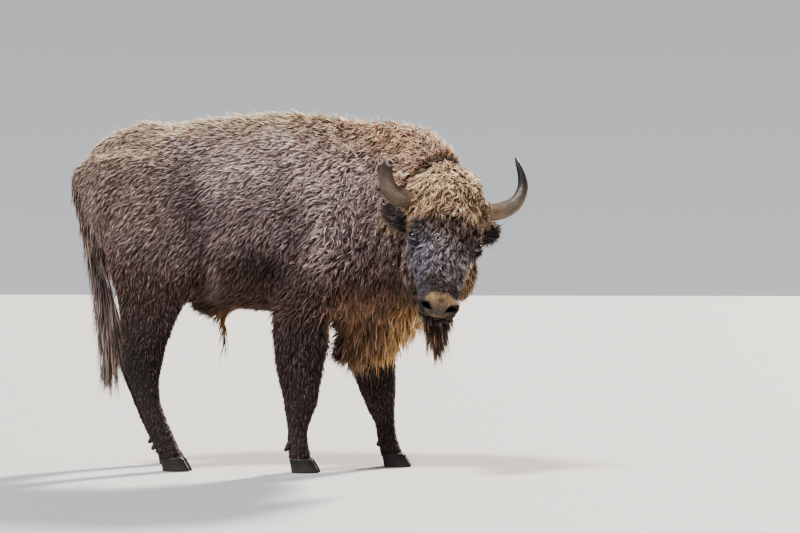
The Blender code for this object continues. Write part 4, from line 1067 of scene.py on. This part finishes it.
skin_normal = unit(web.diffuse(normals_of(skin, tris), 1))
density = 0.942 * DENSITY * (1 - ramp(BARE, 0.25, 0.6)) * np.clip(SHORT, 0.4, 1.0) ** -0.9
SEGMENTS = {"coat_face": 3, "coat_crown": 5, "coat_neck_right": 4, "coat_neck_left": 4, "coat_tail": 6, "coat_trunk_right_fore": 3, "coat_trunk_left_fore": 3}
total = 0
for number, name in enumerate(PIECES):
    chosen = np.nonzero(tri_piece == number)[0]
    rng = np.random.default_rng(500 + number)
    picked, w = scatter(skin, tris, density, chosen, rng)
    t = tris[picked]

    def at(field):
        return np.einsum("mk,mk...->m...", w, field[t])

    uv = np.einsum("mk,mkj->mj", w, tri_uv[picked])
    P, N = at(skin), unit(at(skin_normal))
    short = at(SHORT)
    L = at(LENGTH) * short
    long_hair = at(W_HEAD * beard + W_TRUNK * np.maximum(brisket, sheath) + W_NECK * throat)
    mid_c, tip_c = at(MID), at(TIP)
    # Painted shade: roots darkened as the shade deep in the coat.
    root_c = mid_c * 0.20
    settings = dict(clump=0.016, pull=0.66, waves=0.70)
    if number == 1:
        settings = dict(clump=0.021, pull=0.80, wander=0.060, guard=0.04, waves=1.20)
    if number in (2, 3):
        settings = dict(clump=0.017, pull=0.74, wander=0.060, guard=0.06, waves=0.95)
    if number == 0:
        settings = dict(clump=0.0165, pull=0.62, guard=0.06, wander=0.034, waves=0.55)
    if number >= 10:
        settings = dict(clump=0.017, pull=0.68, guard=0.07, waves=0.65)
    if number == 14:
        settings = dict(clump=0.030, pull=0.35, guard=0.10, waves=0.8)
    arguments = [P, N, at(FLOW), L, at(WIDTH) * np.sqrt(short), at(LIFT), at(CURL), at(WEIGHT), at(STRAY), root_c, mid_c, tip_c, uv]
    K = SEGMENTS.get(name, 2)
    long_ = (L > 0.072) & (K < 4)
    for subset, suffix, k in ((~long_, "", K), (long_, "_long", 5)):
        if subset.sum() > 20:
            given = settings
            if suffix:
                given = dict(clump=0.015, pull=0.50, guard=0.12, wander=0.05, ragged=0.24, streak=0.32) if number == 0 else dict(clump=0.020, pull=0.40, guard=0.12, wander=0.07, ragged=0.16)
            total += tufts(name + suffix, k, *[a[subset] for a in arguments], rng, **given)
for part in ear_parts:
    rng = np.random.default_rng(700 + part["hand"])
    allowed = ramp(part["along"], -0.010, 0.006)
    chosen = np.arange(len(part["tris"]))
    e_density = mix(60000, 34000, part["inner"]) * allowed
    picked, w = scatter(part["co"], part["tris"], e_density, chosen, rng)
    t = part["tris"][picked]

    def at(field):
        return np.einsum("mk,mk...->m...", w, field[t])

    P, N = at(part["co"]), unit(at(part["normal"]))
    along, edge, inner = at(part["along"]), at(part["edge"]), at(part["inner"])
    flow = part["out"][None, :] + 0.55 * edge[:, None] * unit(P - part["root"] - np.outer(along, part["out"])) + down * 0.25
    L = mix(mix(0.018, 0.030, inner), 0.034, edge) * mix(1.0, 0.8, ramp(along, 0.12, 0.17))
    across = np.cross(part["out"], part["open"])
    uv = np.stack([0.25 + (P - part["root"]) @ across * 4.4 + 0.5 * (inner > 0.5), 0.05 + np.clip(along, 0, 0.18) * 5.0], 1)
    mid_c = mix(mix(rgb(68, 56, 54), rgb(56, 46, 46), inner), rgb(112, 94, 82), edge * 0.8)
    tip_c = mix(mix(rgb(106, 94, 90), rgb(92, 82, 78), inner), rgb(168, 148, 128), edge * 0.8)
    flat = np.ones(len(P))
    # Painted shade: the ear tufts' roots darkened as the shade deep in the hair.
    total += tufts("coat_" + ("ear_left" if part["hand"] > 0 else "ear_right"), 3, P, N, flow, L, 0.0034 * flat, np.radians(mix(24, 38, edge)), 0.25 * flat, 0.12 * flat, 0.25 * flat, mid_c * 0.45, mid_c, tip_c, uv, rng, clump=0.014, pull=0.3, guard=0.08, wander=0.04)
print("coat triangles", total)


# ---------------------------------------------------------------- eyes
def eye(name, hand):
    centre, gaze, along, above = EYE_FRAMES[hand]
    rows, columns = 72, 72
    polar = np.linspace(0, math.pi, rows + 1)[1:-1]
    turn = np.linspace(0, 2 * math.pi, columns, endpoint=False)
    T, U = np.meshgrid(polar, turn, indexing="ij")
    T, U = T.reshape(-1), U.reshape(-1)
    T, U = np.concatenate([[0], T, [math.pi]]), np.concatenate([[0], U, [0]])
    cornea = 0.0011 * (1 - ramp(T, 0.35, 0.80))
    radius = EYE_RADIUS - 0.0007 + cornea
    direction = np.outer(np.cos(T), gaze) + np.outer(np.sin(T) * np.cos(U), along) + np.outer(np.sin(T) * np.sin(U), above)
    co = centre + direction * radius[:, None]
    faces = []
    for k in range(columns):
        j = (k + 1) % columns
        faces.append((0, 1 + k, 1 + j))
        last = 1 + (rows - 2) * columns
        faces.append((len(co) - 1, last + j, last + k))
    quads = []
    for r in range(rows - 2):
        for k in range(columns):
            j = (k + 1) % columns
            a = 1 + r * columns
            quads.append((a + k, a + columns + k, a + columns + j, a + j))
    flat = [i for face in faces for i in face] + [i for q in quads for i in q]
    mesh = new_mesh(name, co, np.array(flat), np.array([3] * len(faces) + [4] * len(quads)))
    across = np.sin(T) * np.cos(U) / 0.40
    up = np.sin(T) * np.sin(U) / 0.20
    pupil = 1 - ramp(across**2 + up**2, 0.75, 1.1)
    iris = 1 - ramp(T, 0.62, 0.72)
    colour = mix(np.broadcast_to(rgb(58, 40, 32), (len(T), 3)), rgb(38, 21, 12), iris)
    colour = mix(colour, rgb(16, 10, 8), bell(T, 0.68, 0.07))
    colour = mix(colour, rgb(5, 4, 5), pupil)
    paint(mesh, "coat", colour)
    made = add_object(name, mesh, EYE_M)
    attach(made, "root")
    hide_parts("eye_left" if hand > 0 else "eye_right")


eye("eyeball_left", 1)
eye("eyeball_right", -1)

# lashes on the upper lids
lash = {key: [] for key in ("P", "N", "F", "L", "uv")}
for hand, (centre, gaze, along, above) in EYE_FRAMES.items():
    for k in range(70):
        q1 = APERTURE[0] * (-0.92 + 1.84 * (k + 0.5) / 70)
        q2 = APERTURE[1] * math.sqrt(max(0.0, 1 - abs(q1 / APERTURE[0]) ** 1.7)) * 1.02
        rho = math.hypot(q1, q2)
        h = math.sqrt(max((EYE_RADIUS + 0.0018) ** 2 - rho**2, 1e-6))
        lash["P"].append(centre + gaze * h + along * q1 + above * q2)
        lash["N"].append(unit(gaze * h + along * q1 + above * q2))
        lash["F"].append(unit(-above * 0.5 + along * q1 / APERTURE[0] * 0.7 - FORE * 0.0))
        lash["L"].append(0.011 + 0.003 * math.sin(k * 1.7))
        lash["uv"].append((0.1 + 0.8 * k / 70, 0.3 + 0.2 * hand))
count = len(lash["P"])
dark = np.broadcast_to(rgb(26, 20, 19), (count, 3))
total += tufts("coat_lashes", 3, np.array(lash["P"]), np.array(lash["N"]), np.array(lash["F"]), np.array(lash["L"]), np.full(count, 0.0011), np.full(count, math.radians(40)), np.full(count, 0.1), np.full(count, 0.0), np.full(count, 0.15), dark, dark, dark * 1.4, np.array(lash["uv"]), np.random.default_rng(811), pull=0.1, guard=0.0)


# ---------------------------------------------------------------- horns
def spline_basis(n, degree, ts):
    knots = np.concatenate([np.zeros(degree), np.arange(n - degree + 1), np.full(degree, n - degree)]).astype(float)
    ts = np.minimum(ts * (n - degree), n - degree - 1e-9)
    basis = np.array([(ts >= knots[i]) & (ts < knots[i + 1]) for i in range(len(knots) - 1)], float)
    none = np.zeros_like(ts)
    for k in range(1, degree + 1):
        basis = np.array([
            (basis[i] * (ts - knots[i]) / (knots[i + k] - knots[i]) if knots[i + k] > knots[i] else none)
            + (basis[i + 1] * (knots[i + k + 1] - ts) / (knots[i + k + 1] - knots[i + 1]) if knots[i + k + 1] > knots[i + 1] else none)
            for i in range(len(basis) - 1)
        ])
    return basis.T


def horn(name, node, hand, seat, path, blunt):
    rows, columns = 132, 48
    points = np.array([head_point(hand * (seat[0] + out), -seat[1] - up, -0.020 + forward) for out, up, forward, _ in path])
    radii = np.array([p[3] for p in path])
    basis = spline_basis(len(path), 2, np.linspace(0, 1, rows))
    line, radius = basis @ points, basis @ radii
    run = unit(np.gradient(line, axis=0))
    length = np.concatenate([[0], np.cumsum(np.linalg.norm(np.diff(line, axis=0), axis=1))])
    cap = 10
    end = radius[-1]
    line = np.concatenate([line] + [line[-1:] + run[-1] * end * 0.9 * math.sin(math.pi / 2 * (k + 1) / cap) for k in range(cap)])
    radius = np.concatenate([radius, [end * math.cos(math.pi / 2 * (k + 1) / cap) + 1e-5 for k in range(cap)]])
    run = np.concatenate([run, np.repeat(run[-1:], cap, axis=0)])
    length = np.concatenate([length, [length[-1] + end * 0.9 * (k + 1) / cap for k in range(cap)]])
    side = unit(np.cross(run[0], FORE))
    co, tone, uvs = [], [], []
    share_along = length / length[-1]
    rng = np.random.default_rng(90 + hand)
    rings_at = []
    at = 0.040
    while at < length[-1] * 0.62:
        rings_at.append((at, rng.uniform(0.6, 1.0)))
        at += rng.uniform(0.009, 0.015)
    turn = np.linspace(0, 2 * math.pi, columns, endpoint=False)
    for k in range(len(line)):
        side = unit(side - run[k] * (side @ run[k]))
        third = np.cross(run[k], side)
        groove = sum(strength * math.exp(-(((length[k] - p) / 0.0026) ** 2)) for p, strength in rings_at) * (1 - share_along[k] * 1.2)
        flute = 0.0007 * np.cos(turn * 9 + 1.3 * np.sin(length[k] * 30)) + 0.0005 * np.cos(turn * 17 + 0.7)
        worn = 0.0012 * (noise3(np.stack([np.cos(turn) * 0.03, np.sin(turn) * 0.03, np.full(columns, length[k])], 1), 0.014, 44 + hand) - 0.5)
        shrink = ramp(share_along[k], 0.80, 1.0)
        r = radius[k] * 0.985 - 0.0015 * max(groove, 0) + (flute * (1 - 0.8 * share_along[k]) + worn) * min(1.0, radius[k] / 0.02)
        if blunt:
            r = r * (1 + 0.10 * shrink * np.cos(turn * 2 + 0.6))
        ring = line[k] + np.outer(r * np.cos(turn), side) + np.outer(r * np.sin(turn), third)
        co.append(ring)
        base_c, mid_c, tip_c = (rgb(112, 90, 66), rgb(100, 86, 72), rgb(30, 25, 23)) if not blunt else (rgb(96, 76, 58), rgb(108, 92, 78), rgb(54, 44, 38))
        a = share_along[k]
        shade = mix(base_c, mid_c, np.array([ramp(a, 0.10, 0.35)]))[0] if a < 0.45 else mix(mid_c, tip_c, np.array([ramp(a, 0.50, 0.92) if blunt else ramp(a, 0.40, 0.74)]))[0]
        ring_tone = np.tile(shade * (1 - 0.45 * min(max(groove, 0), 1)), (columns, 1))
        ring_tone = ring_tone * (1 + 0.20 * np.cos(turn * 3 + 2.0 * share_along[k]) * (1 - shrink))[:, None]  # long paler and darker streaks
        if blunt:
            # A pale worn ring near the end, then the end darkened as painted shade of a pit that the shape does not
            # have.
            ring_tone = mix(ring_tone, np.broadcast_to(rgb(150, 138, 126), ring_tone.shape), np.full(columns, bell(share_along[k], 0.955, 0.016) * 0.7))
            ring_tone = ring_tone * (1 - 0.75 * ramp(share_along[k], 0.968, 0.985))
        tone.append(ring_tone)
    co, tone = np.concatenate(co), np.concatenate(tone)
    n = len(line)
    i = np.arange(n - 1)[:, None] * columns
    j = np.arange(columns)[None, :]
    jn = (j + 1) % columns
    quads = np.stack([i + j, i + jn, i + columns + jn, i + columns + j], -1).reshape(-1, 4)
    start, stop = len(co), len(co) + 1
    co = np.concatenate([co, line[:1], line[-1:] + run[-1:] * 1e-4])
    tone = np.concatenate([tone, tone[:1], tone[-1:]])
    ends = [(start, (k + 1) % columns, k) for k in range(columns)]
    ends += [(stop, (n - 1) * columns + k, (n - 1) * columns + (k + 1) % columns) for k in range(columns)]
    corners = np.concatenate([quads.reshape(-1), np.array(ends).reshape(-1)])
    sizes = np.array([4] * len(quads) + [3] * len(ends))
    mesh = new_mesh(name, co, corners, sizes)
    # turned outwards, whichever way the curve runs
    bm = bmesh.new()
    bm.from_mesh(mesh)
    bmesh.ops.recalc_face_normals(bm, faces=bm.faces)
    bm.to_mesh(mesh)
    bm.free()
    paint(mesh, "coat", tone)
    index = np.empty(len(mesh.loops), np.int32)
    mesh.loops.foreach_get("vertex_index", index)
    column = np.where(index < n * columns, index % columns, 0) / columns
    column = np.abs(column * 2 - 1)
    row = np.where(index < n * columns, index // columns, n - 1)
    uv = np.stack([column, length[np.minimum(row, n - 1)] * 4], 1)
    mesh.uv_layers.new(name="along").data.foreach_set("uv", uv.astype(np.float32).reshape(-1))
    made = add_object(name, mesh, HORN_M)
    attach(made, "root")
    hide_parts(node)


horn("horn_upright", "horn_left", 1, (0.197, 0.190), [(-0.050, -0.010, -0.006, 0.040), (-0.010, -0.002, 0.000, 0.0405), (0.044, 0.012, 0.006, 0.0395), (0.100, 0.052, 0.022, 0.0320), (0.122, 0.122, 0.042, 0.0240), (0.107, 0.178, 0.060, 0.0185), (0.083, 0.222, 0.072, 0.0120), (0.068, 0.247, 0.078, 0.0040)], False)
horn("horn_worn", "horn_right", -1, (0.190, 0.176), [(-0.045, 0.004, -0.006, 0.042), (-0.010, 0.002, 0.000, 0.0425), (0.055, 0.000, 0.010, 0.0405), (0.096, 0.030, 0.036, 0.0365), (0.114, 0.064, 0.066, 0.0325), (0.117, 0.086, 0.100, 0.0270), (0.112, 0.090, 0.126, 0.0215), (0.110, 0.090, 0.137, 0.0120)], True)

# ---------------------------------------------------------------- hooves and dewclaws
CORONET, SOLE, CLAW, CLEFT = 0.060, 0.118, 0.050, 0.007
FEET = {"fore_right": (0.034, -0.175, 0.0), "fore_left": (0.400, 0.175, math.radians(4)), "hind_right": (-0.556, -0.180, math.radians(-3)), "hind_left": (-0.664, 0.180, math.radians(5))}


def loft(name, rings, colours):
    n = len(rings[0])
    co = np.concatenate(rings)
    i = np.arange(len(rings) - 1)[:, None] * n
    j = np.arange(n)[None, :]
    jn = (j + 1) % n
    quads = np.stack([i + j, i + jn, i + n + jn, i + n + j], -1).reshape(-1, 4)
    bottom, top = len(co), len(co) + 1
    co = np.concatenate([co, rings[0].mean(axis=0)[None], rings[-1].mean(axis=0)[None]])
    ends = [(bottom, (k + 1) % n, k) for k in range(n)] + [(top, (len(rings) - 1) * n + k, (len(rings) - 1) * n + (k + 1) % n) for k in range(n)]
    mesh = new_mesh(name, co, np.concatenate([quads.reshape(-1), np.array(ends).reshape(-1)]), np.array([4] * len(quads) + [3] * len(ends)))
    bm = bmesh.new()
    bm.from_mesh(mesh)
    bmesh.ops.recalc_face_normals(bm, faces=bm.faces)
    bm.to_mesh(mesh)
    bm.free()
    tone = np.concatenate([np.tile(c_, (n, 1)) for c_ in colours] + [colours[0][None], colours[-1][None]])
    paint(mesh, "coat", tone)
    return mesh


def claw(name, node, x0, y0, turn0, hand, seed):
    rings, tones = [], []
    heights = [0.0, 0.0012, 0.004, 0.008, 0.012, 0.016, 0.020, 0.025, 0.030, 0.034, 0.039, 0.044, 0.049, 0.054, 0.058, 0.061, 0.063]
    k = np.arange(56)
    a = 2 * math.pi * k / 56
    ca, sa = np.cos(a), np.sin(a)
    for z0 in heights:
        shrink = np.interp(z0, [0, 0.012, 0.034, 0.060, 0.063], [1.0, 1.0, 0.93, 0.82, 0.74])
        back = np.interp(z0, [0, 0.012, 0.034, 0.060], [0.0, -0.002, -0.010, -0.020])
        edge = 1 - 0.022 * (z0 < 0.0006)
        ripple = 1 + 0.010 * math.sin(z0 * 620 + seed) * ramp(z0, 0.008, 0.02) + 0.006 * math.sin(z0 * 1300 + 2 * seed)
        coronet = 1 + 0.030 * bell(z0, 0.055, 0.006)
        reach = shrink * edge * ripple * coronet
        long_ = SOLE / 2 * reach * ca * np.where(ca < 0, 1.0, 1.06)
        wide = CLAW / 2 * np.copysign(np.abs(sa) ** 0.8, sa) * (1 - 0.34 * np.maximum(ca, 0) ** 2)
        wide = np.where(sa * hand < 0, wide * 0.97, wide * reach)
        px = long_ + back
        py = hand * (CLAW + CLEFT) / 2 + wide - hand * 0.006 * np.maximum(ca, 0) ** 2
        ct, st = math.cos(turn0), math.sin(turn0)
        ring = np.stack([x0 + 0.018 + px * ct - py * st, y0 + px * st + py * ct, np.full(56, z0)], 1) + SHIFT
        rings.append(ring)
        tones.append(mix(rgb(52, 43, 38), rgb(30, 25, 24), np.array([ramp(z0, 0.0, 0.05)]))[0] * (1 + 0.35 * math.sin(z0 * 620 + seed) * 0.4))
    made = add_object(name, loft(name, rings, tones), HOOF_M)
    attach(made, "root")
    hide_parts(node)


def dewclaw(name, node, seed):
    low, high = (np.array(v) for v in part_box(node))
    middle = (low + high) / 2
    axis = unit(np.array([math.sin(math.radians(35)), 0, math.cos(math.radians(35))]))
    one = unit(np.cross(axis, [0, 1, 0]))
    two = np.cross(axis, one)
    rings, tones = [], []
    a = 2 * math.pi * np.arange(32) / 32
    for t in np.concatenate([np.linspace(0, 0.10, 5), np.linspace(0.16, 1.0, 11)]):
        r = 0.0075 + (0.0155 - 0.0075) * t
        r *= math.sqrt(max(1 - (1 - min(t / 0.10, 1.0)) ** 2, 0.02)) * (1 + 0.012 * math.sin(t * 40 + seed))
        p = middle + axis * 0.044 * (t - 0.5)
        rings.append(p + np.outer(np.cos(a) * r, one) + np.outer(np.sin(a) * r * 0.92, two))
        tones.append(mix(rgb(56, 46, 40), rgb(34, 28, 26), np.array([t]))[0])
    made = add_object(name, loft(name, rings, tones), HOOF_M)
    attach(made, "root")
    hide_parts(node)


seed = 0
for foot_name, (x0, y0, turn0) in FEET.items():
    inner_hand = -1 if y0 > 0 else 1
    for which, hand in (("inner", inner_hand), ("outer", -inner_hand)):
        seed += 1
        claw(f"claw_{foot_name}_{which}", f"hoof_{foot_name}_{which}", x0, y0, turn0, hand, seed)
        dewclaw(f"dew_{foot_name}_{which}", f"dewclaw_{foot_name}_{which}", seed)

# ---------------------------------------------------------------- floor, light and camera
floor_m, nodes, links, shader = nodes_for("floor")
grain = noise_node(nodes, links, nodes.new("ShaderNodeTexCoord").outputs["Object"], 3.0, 4.0, 0.6)
shade = nodes.new("ShaderNodeMix")
shade.data_type = "RGBA"
links.new(grain, shade.inputs[0])
shade.inputs[6].default_value = (0.34, 0.337, 0.33, 1)
shade.inputs[7].default_value = (0.37, 0.367, 0.36, 1)
links.new(shade.outputs[2], shader.inputs["Base Color"])
shader.inputs["Roughness"].default_value = 0.85
floor = add_object("floor", new_mesh("floor", np.array([(-60, -60, 0), (60, -60, 0), (60, 60, 0), (-60, 60, 0)], float), np.array([[0, 1, 2, 3]])), floor_m)

world = bpy.data.worlds.new("studio")
bpy.context.scene.world = world
world.use_nodes = True
sky, sky_links = world.node_tree.nodes, world.node_tree.links
apart = sky.new("ShaderNodeSeparateXYZ")
sky_links.new(sky.new("ShaderNodeTexCoord").outputs["Generated"], apart.inputs[0])
height = ranged(sky, sky_links, apart.outputs["Z"], -0.02, 0.42, 0.0, 1.0)
blend = sky.new("ShaderNodeMix")
blend.data_type = "RGBA"
sky_links.new(height, blend.inputs[0])
blend.inputs[6].default_value = (0.80, 0.82, 0.85, 1)
blend.inputs[7].default_value = (0.36, 0.37, 0.41, 1)
sky_links.new(blend.outputs[2], sky["Background"].inputs[0])
sky["Background"].inputs[1].default_value = 0.72


def sun(name, direction, strength, colour, spread):
    """A broad far lamp; direction points from the lamp to the animal."""
    data = bpy.data.lights.new(name, "SUN")
    data.energy = strength
    data.color = colour
    data.angle = math.radians(spread)
    obj = bpy.data.objects.new(name, data)
    bpy.context.scene.collection.objects.link(obj)
    obj.location = -Vector(direction) * 8
    obj.rotation_euler = Vector(direction).to_track_quat("-Z", "Y").to_euler()


sun("overhead", (0.34, 0.50, -1.0), 5.2, (0.97, 0.97, 1.0), 12)
sun("behind", (-0.42, -1.0, -0.66), 10.0, (1.0, 0.90, 0.77), 8)
bpy.context.scene.view_settings.look = "AgX - Medium High Contrast"

angle = math.radians(8)
camera_data = bpy.data.cameras.new("camera")
camera_data.lens = 99.0
camera_data.sensor_width = 36.0
camera_data.clip_end = 300
camera = bpy.data.objects.new("camera", camera_data)
bpy.context.scene.collection.objects.link(camera)
camera.location = (0.482 + 10 * math.sin(angle), 0.1235 - 10 * math.cos(angle), 0.925)
camera.rotation_euler = Vector((-math.sin(angle), math.cos(angle), 0)).to_track_quat("-Z", "Y").to_euler()
bpy.context.scene.camera = camera
